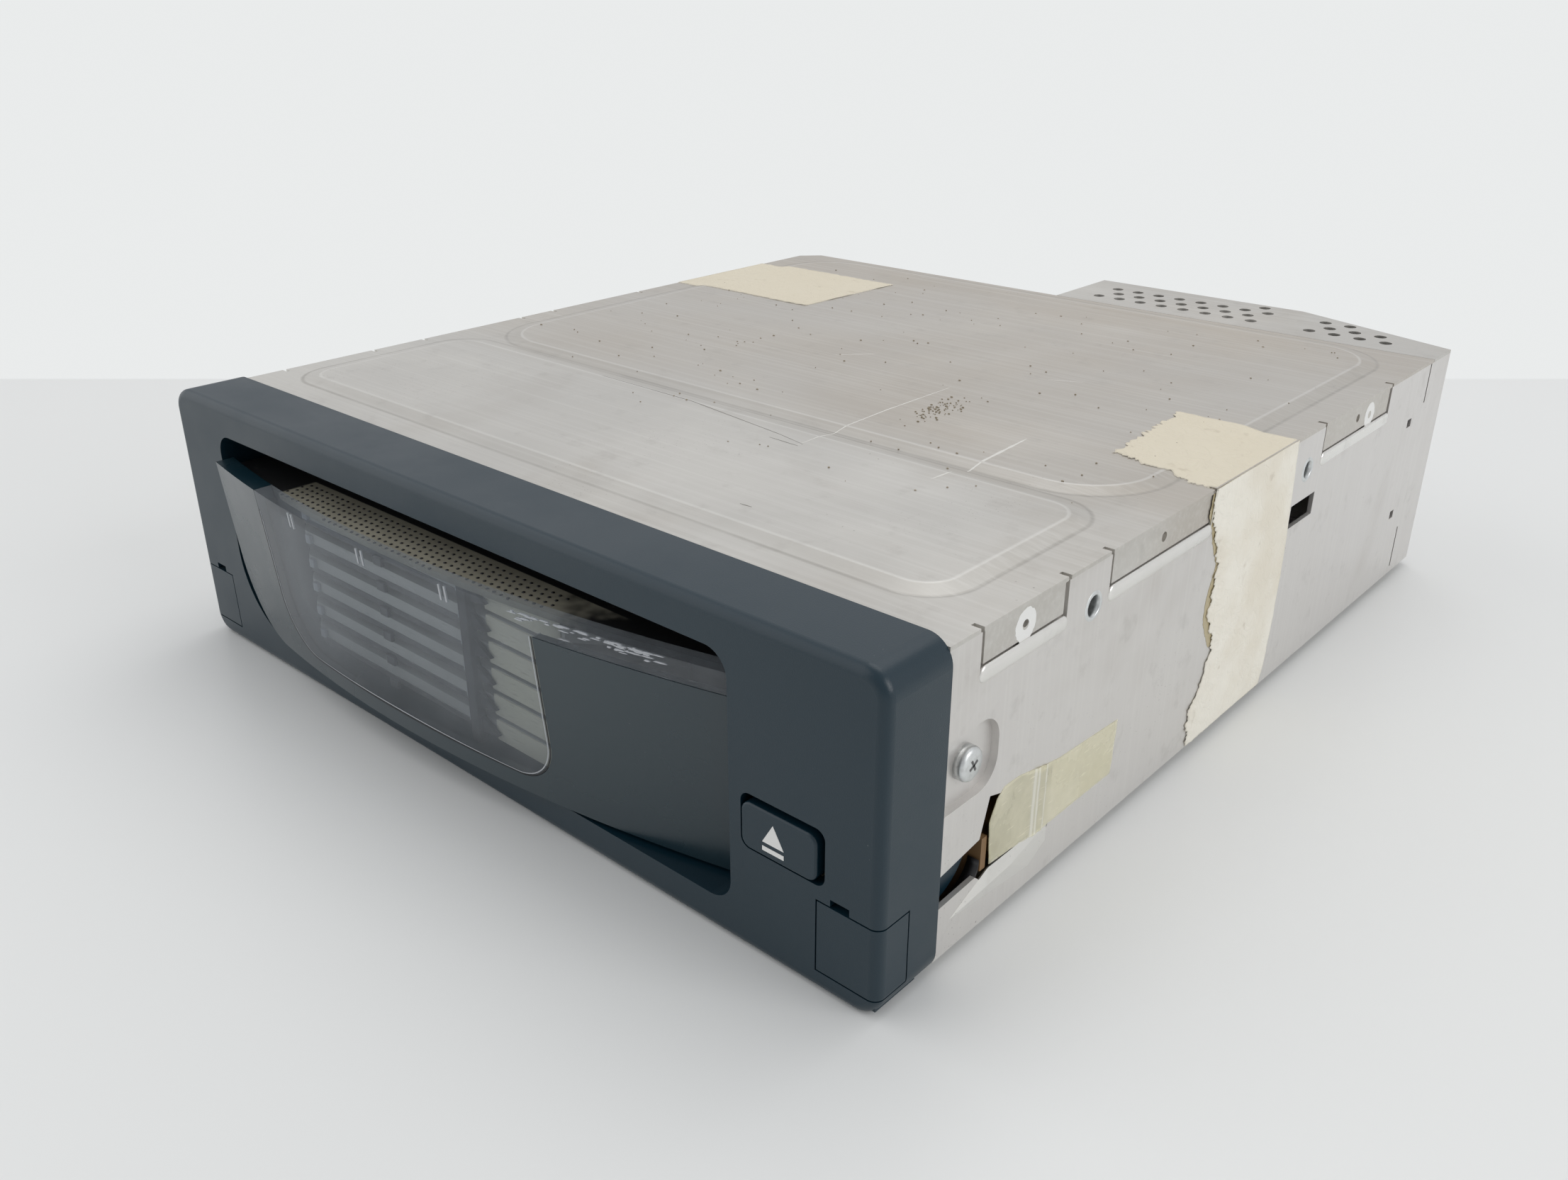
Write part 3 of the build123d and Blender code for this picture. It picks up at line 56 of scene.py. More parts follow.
Pair = tuple[float, float]
Point = tuple[float, float, float]
Lines = tuple[tuple[tuple[Pair, ...], float], ...]
Shape = bmesh.types.BMesh
Rows = list[list[bmesh.types.BMVert]]
Nodes = dict[str, bpy.types.Object]
Socket = bpy.types.NodeSocket
Value = Socket | Point | float

FRONT_Y = -0.12925


def place(x: float, depth: float, z: float) -> Vector:
    """A point given in millimetres: across, behind the bezel's face, and up."""
    return Vector((x / 1000, depth / 1000 + FRONT_Y, z / 1000))


class Body(Enum):
    """The moving bodies that new pieces ride on."""

    HOUSING = "housing"
    MAGAZINE = "magazine"
    BUTTON = "button"
    PLATTER = "platter"
    TRAY_1 = "tray_1"
    TRAY_2 = "tray_2"
    TRAY_3 = "tray_3"
    TRAY_4 = "tray_4"
    TRAY_5 = "tray_5"
    TRAY_6 = "tray_6"


class Shade:
    """Builds one node material step by step."""

    def __init__(self, name: str) -> None:
        """Starts a material with a Principled shader.

        Args:
            name: the finish's name.
        """
        self.material = bpy.data.materials.new(name)
        self.material.use_nodes = True
        self.tree = self.material.node_tree
        self.tree.nodes.clear()
        self.output = self.node("OutputMaterial")
        self.shader = self.node("BsdfPrincipled")
        self.link(self.shader.outputs[0], self.output.inputs["Surface"])
        self.coords = self.node("TexCoord").outputs["Object"]

    def link(self, source: Socket, target: Socket) -> None:
        """Joins two sockets."""
        self.tree.links.new(source, target)

    def feed(self, socket: Socket, value: Value) -> None:
        """Gives a socket a link, a number or a colour."""
        if isinstance(value, Socket):
            self.link(value, socket)
        else:
            socket.default_value = (*value, 1.0) if socket.type == "RGBA" else value

    def node(self, kind: str, **inputs: Value) -> bpy.types.Node:
        """Adds a shader node.

        Args:
            kind: its type, without the word ShaderNode.
            inputs: what its inputs take, with _ for a blank in their names.

        Returns:
            The new node.
        """
        node = self.tree.nodes.new("ShaderNode" + kind)
        for name, value in inputs.items():
            self.feed(node.inputs[name.replace("_", " ")], value)
        return node

    def surface(self, colour: Value, rough: Value, **inputs: Value) -> None:
        """Gives the shader its colour, its roughness and other inputs by name."""
        for name, value in {"Base Color": colour, "Roughness": rough, **inputs}.items():
            self.feed(self.shader.inputs[name.replace("_", " ")], value)

    def stretch(self, scale: Point, turn: float = 0.0) -> Socket:
        """Object coordinates, turned about Z and scaled along each axis."""
        return self.node("Mapping", Vector=self.coords, Scale=scale, Rotation=(0, 0, turn)).outputs[0]

    def noise(self, scale: float, detail: float = 3.0, rough: float = 0.55, where: Socket | None = None,
              warp: float = 0.0) -> Socket:
        """Cloudy noise of a given scale in cycles per metre."""
        return self.node("TexNoise", Vector=where or self.coords, Scale=scale, Detail=detail,
                         Roughness=rough, Distortion=warp).outputs["Fac"]

    def cells(self, scale: float) -> Socket:
        """Distance to scattered points."""
        return self.node("TexVoronoi", Vector=self.coords, Scale=scale).outputs["Distance"]

    def ramp(self, value: Socket, low: float, high: float, start: float = 0.0, end: float = 1.0) -> Socket:
        """Maps low..high smoothly to start..end."""
        node = self.node("MapRange", Value=value, From_Min=low, From_Max=high, To_Min=start, To_Max=end)
        node.interpolation_type = "SMOOTHSTEP"
        return node.outputs[0]

    def sums(self, operation: str, first: Value, second: Value = 0.0) -> Socket:
        """One step of arithmetic on plain values."""
        node = self.node("Math")
        node.operation = operation
        self.feed(node.inputs[0], first)
        self.feed(node.inputs[1], second)
        return node.outputs[0]

    def times(self, first: Value, second: Value) -> Socket:
        """One value times another."""
        return self.sums("MULTIPLY", first, second)

    def plus(self, first: Value, second: Value) -> Socket:
        """One value added to another."""
        return self.sums("ADD", first, second)

    def most(self, first: Value, second: Value) -> Socket:
        """The larger of two values."""
        return self.sums("MAXIMUM", first, second)

    def apart(self, first: Value, second: Value) -> Socket:
        """How far two values are apart."""
        return self.sums("ABSOLUTE", self.sums("SUBTRACT", first, second))

    def blend(self, amount: Value, first: Value, second: Value) -> Socket:
        """Mixes two colours."""
        node = self.node("Mix")
        node.data_type = "RGBA"
        for index, value in ((0, amount), (6, first), (7, second)):
            self.feed(node.inputs[index], value)
        return node.outputs[2]

    def axis(self, name: str, vector: Socket | None = None) -> Socket:
        """One component of a vector, or of the object coordinates."""
        return self.node("SeparateXYZ", Vector=vector or self.coords).outputs[name]

    def bump(self, height: Socket, strength: float, distance: float, normal: Socket | None = None) -> Socket:
        """A bump from a height value; distance is in metres."""
        node = self.node("Bump", Height=height, Strength=strength, Distance=distance)
        if normal is not None:
            self.link(normal, node.inputs["Normal"])
        self.link(node.outputs[0], self.shader.inputs["Normal"])
        return node.outputs[0]

    def cover(self, share: Socket, below: Socket, above: Socket) -> None:
        """Mixes two shaders into the material's output, by the share of the upper one."""
        mix = self.node("MixShader")
        for socket, source in zip(mix.inputs, (share, below, above)):
            self.link(source, socket)
        self.link(mix.outputs[0], self.output.inputs["Surface"])


@dataclass(frozen=True)
class MouldedPlastic:
    """Moulded plastic with a fine grain, faint blotches and dust."""

    name: str
    colour: Point
    worn: Point
    rough: float = 0.42
    grain: float = 0.00004
    blotch: float = 0.25
    dust: float = 0.0
    shine: float = 0.5

    def build(self) -> bpy.types.Material:
        """Returns the finished material."""
        shade = Shade(self.name)
        blotches = shade.noise(28, 4, 0.6)
        specks = shade.ramp(shade.cells(520), 0.09, 0.02)
        patches = shade.ramp(shade.noise(60, 3, 0.6), 0.5, 0.75)
        base = shade.blend(shade.ramp(blotches, 0.3, 0.75, 0, self.blotch), self.colour, self.worn)
        base = shade.blend(shade.times(shade.times(specks, patches), self.dust), base, (0.4, 0.4, 0.4))
        rough = shade.ramp(blotches, 0.25, 0.75, self.rough - 0.05, self.rough + 0.08)
        shade.surface(base, rough, Specular_IOR_Level=self.shine)
        shade.bump(shade.noise(4200, 2, 0.6), 0.6, self.grain)
        return shade.material


@dataclass(frozen=True)
class CoatedSteel:
    """Zinc-coated sheet: soft blotches, brown stains, rolled streaks and fine scratches."""

    name: str
    colour: Point = (0.60, 0.585, 0.55)
    stain: Point = (0.36, 0.32, 0.27)
    stains: float = 0.5
    streak_axis: str = "X"
    metal: float = 0.75
    rough: float = 0.36
    cloud: float = 0.3

    def marks(self, shade: Shade, base: Socket) -> Socket:
        """Adds the marks of one particular sheet to its colour; a plain sheet has none."""
        return base

    def build(self) -> bpy.types.Material:
        """Returns the finished material."""
        shade = Shade(self.name)
        streak_scale = tuple(12 if axis == self.streak_axis else 900 for axis in "XYZ")
        streaks = shade.noise(1.0, 3, 0.6, shade.stretch(streak_scale))
        clouds = shade.noise(14, 5, 0.62, warp=0.4)
        mottle = shade.noise(160, 4, 0.6)
        brown = shade.ramp(shade.noise(9, 4, 0.65, warp=0.8), 0.5, 0.72, 0, self.stains)
        base = shade.blend(shade.ramp(clouds, 0.35, 0.7, 0, self.cloud), self.colour, (0.74, 0.73, 0.7))
        base = self.marks(shade, shade.blend(brown, base, self.stain))
        base = shade.blend(shade.ramp(mottle, 0.55, 0.75, 0, 0.18), base, (0.33, 0.31, 0.28))
        base = shade.blend(shade.ramp(streaks, 0.4, 0.8, 0, 0.25), base, (0.8, 0.79, 0.76))
        pits = shade.times(shade.ramp(shade.cells(330), 0.085, 0.03), shade.ramp(shade.noise(34, 3), 0.56, 0.68))
        base = shade.blend(shade.times(pits, 0.6), base, (0.16, 0.14, 0.12))
        dots = shade.times(shade.ramp(shade.cells(900), 0.16, 0.06),
                           shade.ramp(shade.noise(22, 3), 0.5, 0.7, 0, 0.45))
        base = shade.blend(dots, base, (0.2, 0.18, 0.16))
        uneven = shade.ramp(clouds, 0.3, 0.75, self.rough - 0.06, self.rough + 0.14)
        rough = shade.plus(uneven, shade.ramp(brown, 0, 0.5, 0, 0.12))
        shade.surface(base, rough, Metallic=self.metal)
        shade.bump(shade.plus(streaks, mottle), 0.25, 0.00005)
        return shade.material


@dataclass(frozen=True)
class CoverSteel(CoatedSteel):
    """The cover's sheet: cool and clean in front, warm and stained behind, with painted shade on the pressed
    panels' slopes and feet and a painted highlight along their inner edges.
    """

    panels: tuple[tuple[Pair, Pair, float], ...] = (
        ((-103.0, 100.0), (26.0, 82.5), 11.0), ((-101.0, 101.0), (83.5, 234.0), 20.0))
    slope: float = 4.4

    def distance(self, shade: Shade, across: Pair, depths: Pair, corner: float) -> Socket:
        """Millimetres from a rounded rectangle's outline, below zero inside it."""
        spans = []
        for axis, (low, high), shift in (("X", across, 0.0), ("Y", depths, FRONT_Y * 1000)):
            middle, half = (low + high) / 2 + shift, (high - low) / 2 - corner
            at = shade.times(shade.axis(axis), 1000.0)
            spans.append(shade.sums("SUBTRACT", shade.apart(at, middle), half))
        outer = [shade.most(span, 0.0) for span in spans]
        length = shade.sums("SQRT", shade.plus(*(shade.times(span, span) for span in outer)))
        inner = shade.sums("MINIMUM", shade.most(*spans), 0.0)
        return shade.sums("SUBTRACT", shade.plus(length, inner), corner)

    def marks(self, shade: Shade, base: Socket) -> Socket:
        """Warms the rear of the sheet, paints shade on the panels' slopes and feet and paints a highlight on
        their inner edges.
        """
        rear = shade.ramp(shade.axis("Y"), FRONT_Y + 0.07, FRONT_Y + 0.1)
        patchy = shade.ramp(shade.noise(7, 3, 0.6, warp=0.6), 0.3, 0.65, 0.35, 0.85)
        base = shade.blend(shade.times(rear, patchy), base, (0.5, 0.455, 0.395))
        # This noise breaks up the painted shade along each pressed panel.
        shade_breakup = shade.ramp(shade.noise(40, 3, 0.6), 0.3, 0.7, 0.5, 1.0)
        for across, depths, corner in self.panels:
            gap = self.distance(shade, across, depths, corner)
            half = self.slope / 2
            band = shade.ramp(shade.apart(gap, -half), half + 0.5, half - 0.3, 0, 0.2)
            foot = shade.ramp(shade.sums("ABSOLUTE", gap), 0.75, 0.1, 0, 0.42)
            crest_highlight = shade.ramp(shade.apart(gap, -self.slope), 0.6, 0.1, 0, 0.4)
            # The slope and the foot of each panel get painted shade; the crest on its inner edge gets a painted
            # highlight.
            base = shade.blend(shade.times(band, shade_breakup), base, (0.36, 0.34, 0.3))
            base = shade.blend(shade.times(foot, shade_breakup), base, (0.24, 0.225, 0.2))
            base = shade.blend(crest_highlight, base, (0.82, 0.81, 0.78))
        return base


@dataclass(frozen=True)
class LedgePlastic:
    """The magazine's top: a khaki strip behind the rim, dusty black elsewhere; behind the strip's back edge,
    under the bezel's lip, that dark is painted shade.
    """

    name: str
    strip_back: float = 8.2

    def build(self) -> bpy.types.Material:
        """Returns the finished material."""
        shade = Shade(self.name)
        across = shade.axis("X")
        left = shade.ramp(across, -0.0625, -0.0615)
        blotches = shade.noise(75, 3, 0.6)
        right = shade.ramp(shade.plus(across, shade.times(blotches, 0.05)), 0.068, 0.055)
        dust = shade.times(shade.ramp(shade.cells(900), 0.2, 0.06), shade.ramp(shade.noise(140, 3), 0.5, 0.7))
        dark = shade.blend(shade.times(dust, 0.6), (0.016, 0.016, 0.017), (0.4, 0.39, 0.35))
        khaki = shade.blend(shade.ramp(blotches, 0.35, 0.7, 0, 0.6), (0.39, 0.37, 0.295), (0.28, 0.265, 0.21))
        # Behind the strip's back edge the ledge takes the dark colour as painted shade under the bezel's lip.
        back = FRONT_Y + self.strip_back / 1000
        strip = shade.times(shade.ramp(shade.axis("Y"), back, back - 0.0003), left)
        shade.surface(shade.blend(shade.times(strip, right), dark, khaki), 0.38)
        shade.bump(shade.noise(2600, 2), 0.5, 0.00003)
        return shade.material


@dataclass(frozen=True)
class TurnedMetal:
    """Plain turned or plated metal with a faint grain."""

    name: str
    colour: Point
    rough: float = 0.25

    def build(self) -> bpy.types.Material:
        """Returns the finished material."""
        shade = Shade(self.name)
        marks = shade.noise(900, 3, 0.6)
        base = shade.blend(shade.ramp(marks, 0.4, 0.8, 0, 0.3), self.colour, (0.35, 0.34, 0.32))
        shade.surface(base, shade.ramp(marks, 0.3, 0.7, self.rough - 0.05, self.rough + 0.1), Metallic=1.0)
        shade.bump(marks, 0.2, 0.00002)
        return shade.material


@dataclass(frozen=True)
class ClearPlastic:
    """See-through plastic with haze, dust and fine scratches; light passes through it to what is behind."""

    name: str
    tint: Point
    haze_colour: Point
    haze: float = 0.35
    rough: float = 0.08
    folds: tuple[float, ...] = ()

    def build(self) -> bpy.types.Material:
        """Returns the finished material."""
        shade = Shade(self.name)
        scratches = shade.ramp(shade.noise(1.0, 2, 0.5, shade.stretch((260, 260, 2200), 0.4)), 0.62, 0.72)
        clouds = shade.noise(70, 4, 0.6)
        colour, pale = self.haze_colour, 0.0
        for fold in self.folds:
            spread = shade.apart(shade.axis("Y"), FRONT_Y + fold / 1000)
            pale = shade.most(pale, shade.ramp(spread, 0.0006, 0.0002))
        if self.folds:
            colour = shade.blend(pale, colour, (0.98, 0.97, 0.9))
        shade.surface(colour, shade.ramp(clouds, 0.3, 0.7, self.rough, self.rough + 0.15))
        shade.bump(clouds, 0.1, 0.00003)
        share = shade.plus(shade.ramp(clouds, 0.3, 0.8, self.haze * 0.8, self.haze * 1.25),
                           shade.times(scratches, 0.12))
        if self.folds:
            share = shade.most(share, shade.times(pale, 0.6))
        slant = shade.node("LayerWeight", Blend=0.5).outputs["Facing"]
        glass = shade.node("BsdfTransparent", Color=self.tint)
        shade.cover(shade.most(share, shade.ramp(slant, 0.45, 1.0, 0.03, 0.8)), glass.outputs[0],
                    shade.shader.outputs[0])
        return shade.material


@dataclass(frozen=True)
class AgedPaper:
    """Cream paper with fibres, brown spots and soft creases, with painted shade darkening the faces that point
    up.
    """

    name: str
    colour: Point = (0.85, 0.82, 0.735)
    top_shade: Point = (0.69, 0.63, 0.5)

    def build(self) -> bpy.types.Material:
        """Returns the finished material."""
        shade = Shade(self.name)
        upward = shade.axis("Z", shade.node("NewGeometry").outputs["Normal"])
        fibres = shade.noise(1500, 3, 0.7)
        clouds = shade.noise(45, 4, 0.6)
        spots = shade.ramp(shade.noise(160, 3, 0.6), 0.62, 0.74)
        base = shade.blend(shade.ramp(clouds, 0.35, 0.7, 0, 0.6), self.colour, (0.72, 0.66, 0.54))
        # Painted shade: the faces that point up are darkened.
        base = shade.blend(shade.ramp(upward, 0.4, 0.9, 0, 0.9), base, self.top_shade)
        base = shade.blend(shade.times(spots, 0.3), base, (0.4, 0.33, 0.24))
        shade.surface(base, 0.85)
        folds = shade.apart(shade.noise(170, 3, 0.55, warp=1.2), 0.5)
        wrinkles = shade.bump(shade.ramp(folds, 0.0, 0.06), 0.35, 0.00018)
        shade.bump(shade.plus(fibres, shade.times(clouds, 2.0)), 0.5, 0.00012, wrinkles)
        return shade.material


@dataclass
class Finishes:
    """Every finish, built once and shared."""

    made: dict[str, bpy.types.Material] = field(default_factory=dict)

    def build(self) -> None:
        """Makes the materials."""
        recipes = (
            MouldedPlastic("bezel_plastic", (0.0045, 0.0215, 0.0345), (0.01, 0.029, 0.044), 0.34, dust=0.25),
            MouldedPlastic("face_plastic", (0.005, 0.022, 0.0325), (0.018, 0.038, 0.046), 0.27, dust=0.3,
                           shine=0.75),
            MouldedPlastic("dark_plastic", (0.012, 0.012, 0.014), (0.03, 0.03, 0.03), 0.5),
            LedgePlastic("ledge_plastic"),
            MouldedPlastic("grey_plastic", (0.17, 0.175, 0.17), (0.24, 0.24, 0.23), 0.5),
            MouldedPlastic("tray_plastic", (0.5, 0.5, 0.47), (0.56, 0.55, 0.51), 0.5),
            MouldedPlastic("tab_plastic", (0.72, 0.69, 0.55), (0.78, 0.74, 0.6), 0.45),
            MouldedPlastic("gear_plastic", (0.75, 0.72, 0.63), (0.8, 0.77, 0.68), 0.4),
            MouldedPlastic("board_laminate", (0.2, 0.115, 0.05), (0.28, 0.17, 0.08), 0.55),
            MouldedPlastic("rubber", (0.014, 0.014, 0.014), (0.03, 0.03, 0.03), 0.75),
            MouldedPlastic("ribbon", (0.7, 0.7, 0.66), (0.75, 0.75, 0.72), 0.35),
            MouldedPlastic("white_paint", (0.82, 0.82, 0.8), (0.7, 0.7, 0.68), 0.4),
            CoverSteel("cover_steel", stains=0.32, cloud=0.28),
            CoatedSteel("vent_steel", (0.57, 0.555, 0.52), stains=0.3),
            CoatedSteel("side_steel", (0.69, 0.67, 0.65), streak_axis="Z", stains=0.25, metal=0.7, rough=0.33),
            TurnedMetal("plated_metal", (0.72, 0.74, 0.74), 0.34),
            TurnedMetal("turned_metal", (0.6, 0.6, 0.6), 0.3),
            TurnedMetal("contact_metal", (0.75, 0.58, 0.28), 0.25),
            # A brighter, shinier copy of the side steel: painted highlight on the pocket beads and the pressed
            # gusset.
            CoatedSteel("highlight_steel", (0.84, 0.83, 0.8), streak_axis="Y", stains=0.08, metal=0.85, rough=0.26),
            MouldedPlastic("shadow_grey", (0.1, 0.1, 0.1), (0.13, 0.13, 0.13), 0.5),
            MouldedPlastic("edge_pale", (0.72, 0.71, 0.67), (0.6, 0.58, 0.54), 0.5),
            MouldedPlastic("crease_dark", (0.2, 0.19, 0.17), (0.3, 0.28, 0.25), 0.5),
            MouldedPlastic("crumb_brown", (0.22, 0.18, 0.12), (0.42, 0.37, 0.29), 0.8, blotch=0.8),
            MouldedPlastic("glue", (0.42, 0.35, 0.2), (0.5, 0.43, 0.28), 0.35, blotch=0.8),
            MouldedPlastic("edge_light", (0.42, 0.44, 0.47), (0.5, 0.5, 0.5), 0.35),
            ClearPlastic("smoky_window", (0.88, 0.9, 0.92), (0.34, 0.365, 0.39), 0.21),
            ClearPlastic("lens", (0.6, 0.55, 0.8), (0.1, 0.1, 0.2), 0.2),
            ClearPlastic("film", (0.97, 0.95, 0.8), (0.96, 0.93, 0.77), 0.46, 0.2, (45.6, 46.7, 49.4)),
            AgedPaper("seal_paper"),
        )
        for recipe in recipes:
            self.made[recipe.name] = recipe.build()

    def dress(self, piece: bpy.types.Object, finish: str) -> None:
        """Gives a piece one finish.

        Args:
            piece: the object to dress.
            finish: the name of the finish.
        """
        piece.data.materials.clear()
        piece.data.materials.append(self.made[finish])


@dataclass
class Skin:
    """Finds points on carried-over nodes by casting rays at them."""

    trees: list[BVHTree]

    @classmethod
    def of(cls, nodes: Nodes, names: str) -> "Skin":
        """Reads the named nodes' meshes."""
        meshes = [nodes[name].data for name in names.split()]
        return cls([BVHTree.FromPolygons([v.co for v in mesh.vertices], [p.vertices for p in mesh.polygons])
                    for mesh in meshes])

    def hit(self, start: Vector, ray: Vector) -> Vector:
        """The nearest point that a ray meets, or its start where it meets nothing."""
        spots = [tree.ray_cast(start, ray) for tree in self.trees]
        found = [(spot[3], spot[0]) for spot in spots if spot[0] is not None]
        return min(found, key=lambda pair: pair[0])[1] if found else start

    def front(self, x: float, z: float) -> Vector:
        """The point that is seen from the front, for millimetres across and up."""
        return self.hit(place(x, -40, z), Vector((0, 1, 0)))

    def above(self, x: float, depth: float) -> Vector:
        """The point that is seen from above."""
        return self.hit(place(x, depth, 100), Vector((0, 0, -1)))


@dataclass
class Workshop:
    """Turns shapes into dressed pieces that ride on a body."""

    finishes: Finishes

    def slab(self, shape: Shape, low: Point, high: Point, edge: float) -> None:
        """Adds a box between two corners in millimetres, with bevelled edges.

        Args:
            shape: the mesh under construction.
            low: the lowest corner as across, depth, up.
            high: the highest corner.
            edge: the bevel's width in millimetres.
        """
        a, b = place(*low), place(*high)
        made = bmesh.ops.create_cube(shape, size=1)["verts"]
        bmesh.ops.scale(shape, vec=b - a, verts=made)
        bmesh.ops.translate(shape, vec=(a + b) / 2, verts=made)
        edges = list({e for v in made for e in v.link_edges})
        bmesh.ops.bevel(shape, geom=edges, offset=edge / 1000, segments=2, profile=0.5, affect="EDGES",
                        material=-1)

    def lathe(self, shape: Shape, outline: list[Pair], centre: Vector, axis: Vector,
              steps: int) -> None:
        """Spins an outline of (radius, height) in millimetres about an axis.

        Args:
            shape: the mesh under construction.
            outline: points from the axis outwards.
            centre: the outline's foot.
            axis: the direction of height.
            steps: how many faces go round.
        """
        side = axis.orthogonal().normalized()
        points = [shape.verts.new(centre + side * r / 1000 + axis * h / 1000) for r, h in outline]
        edges = [shape.edges.new(pair) for pair in zip(points, points[1:])]
        bmesh.ops.spin(shape, geom=points + edges, cent=centre, axis=axis, angle=2 * math.pi, steps=steps,
                       use_merge=True)
        bmesh.ops.remove_doubles(shape, verts=shape.verts[:], dist=1e-6)
        bmesh.ops.recalc_face_normals(shape, faces=shape.faces[:])

    def prism(self, shape: Shape, corners: list[Vector], push: Vector) -> None:
        """Adds a closed prism from corner points and the way they are pushed."""
        face = shape.faces.new([shape.verts.new(corner) for corner in corners])
        pushed = bmesh.ops.extrude_face_region(shape, geom=[face])["geom"]
        bmesh.ops.translate(shape, vec=push, verts=[v for v in pushed if isinstance(v, bmesh.types.BMVert)])
        bmesh.ops.recalc_face_normals(shape, faces=shape.faces[:])

    def span(self, shape: Shape, rows: Rows) -> None:
        """Adds the faces between rows of vertices."""
        for before, after in zip(rows, rows[1:]):
            for k in range(len(before) - 1):
                shape.faces.new((before[k], before[k + 1], after[k + 1], after[k]))

    def thicken(self, shape: Shape, thickness: float) -> None:
        """Gives a sheet its thickness in millimetres and turns its faces outwards."""
        bmesh.ops.recalc_face_normals(shape, faces=shape.faces[:])
        bmesh.ops.solidify(shape, geom=shape.faces[:], thickness=thickness / 1000)
        bmesh.ops.recalc_face_normals(shape, faces=shape.faces[:])

    def finish(self, shape: Shape, name: str, body: Body, finish: str, slot: str, smooth: bool = False,
               instead: str = "") -> None:
        """Makes a piece from a shape.

        Args:
            shape: the finished mesh; it is freed.
            name: the piece's name.
            body: the body it rides on.
            finish: its finish.
            slot: a record's material slot; it is not used.
            smooth: whether its faces are shaded smooth.
            instead: the node that it replaces.
        """
        mesh = bpy.data.meshes.new(name)
        shape.to_mesh(mesh)
        shape.free()
        mesh.polygons.foreach_set("use_smooth", [smooth] * len(mesh.polygons))
        piece = bpy.data.objects.new(name, mesh)
        bpy.context.scene.collection.objects.link(piece)
        self.finishes.dress(piece, finish)
        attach(piece, body.value)
        if instead:
            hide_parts(instead)
        log.info("%s: %d faces on %s", name, len(mesh.polygons), body.value)


@dataclass
class BezelDetails:
    """What the bezel's button carries."""

    mark_x: float = 87.3
    mark_half: float = 2.4
    triangle: Pair = (25.0, 29.1)
    bar: Pair = (23.3, 24.2)

    def build(self, shop: Workshop, skin: Skin) -> None:
        """Adds the painted triangle over a bar."""
        face = skin.front(self.mark_x, 27).y - 0.00005
        shape = bmesh.new()
        half, (foot, tip), (low, high) = self.mark_half, self.triangle, self.bar
        for corners in (((-half, foot), (half, foot), (0, tip)),
                        ((-half, low), (half, low), (half, high), (-half, high))):
            spots = [Vector(((self.mark_x + x) / 1000, face, z / 1000)) for x, z in corners]
            shop.prism(shape, spots, Vector((0, 0.0002, 0)))
        shop.finish(shape, "eject_mark", Body.BUTTON, "white_paint", "black_plastic")


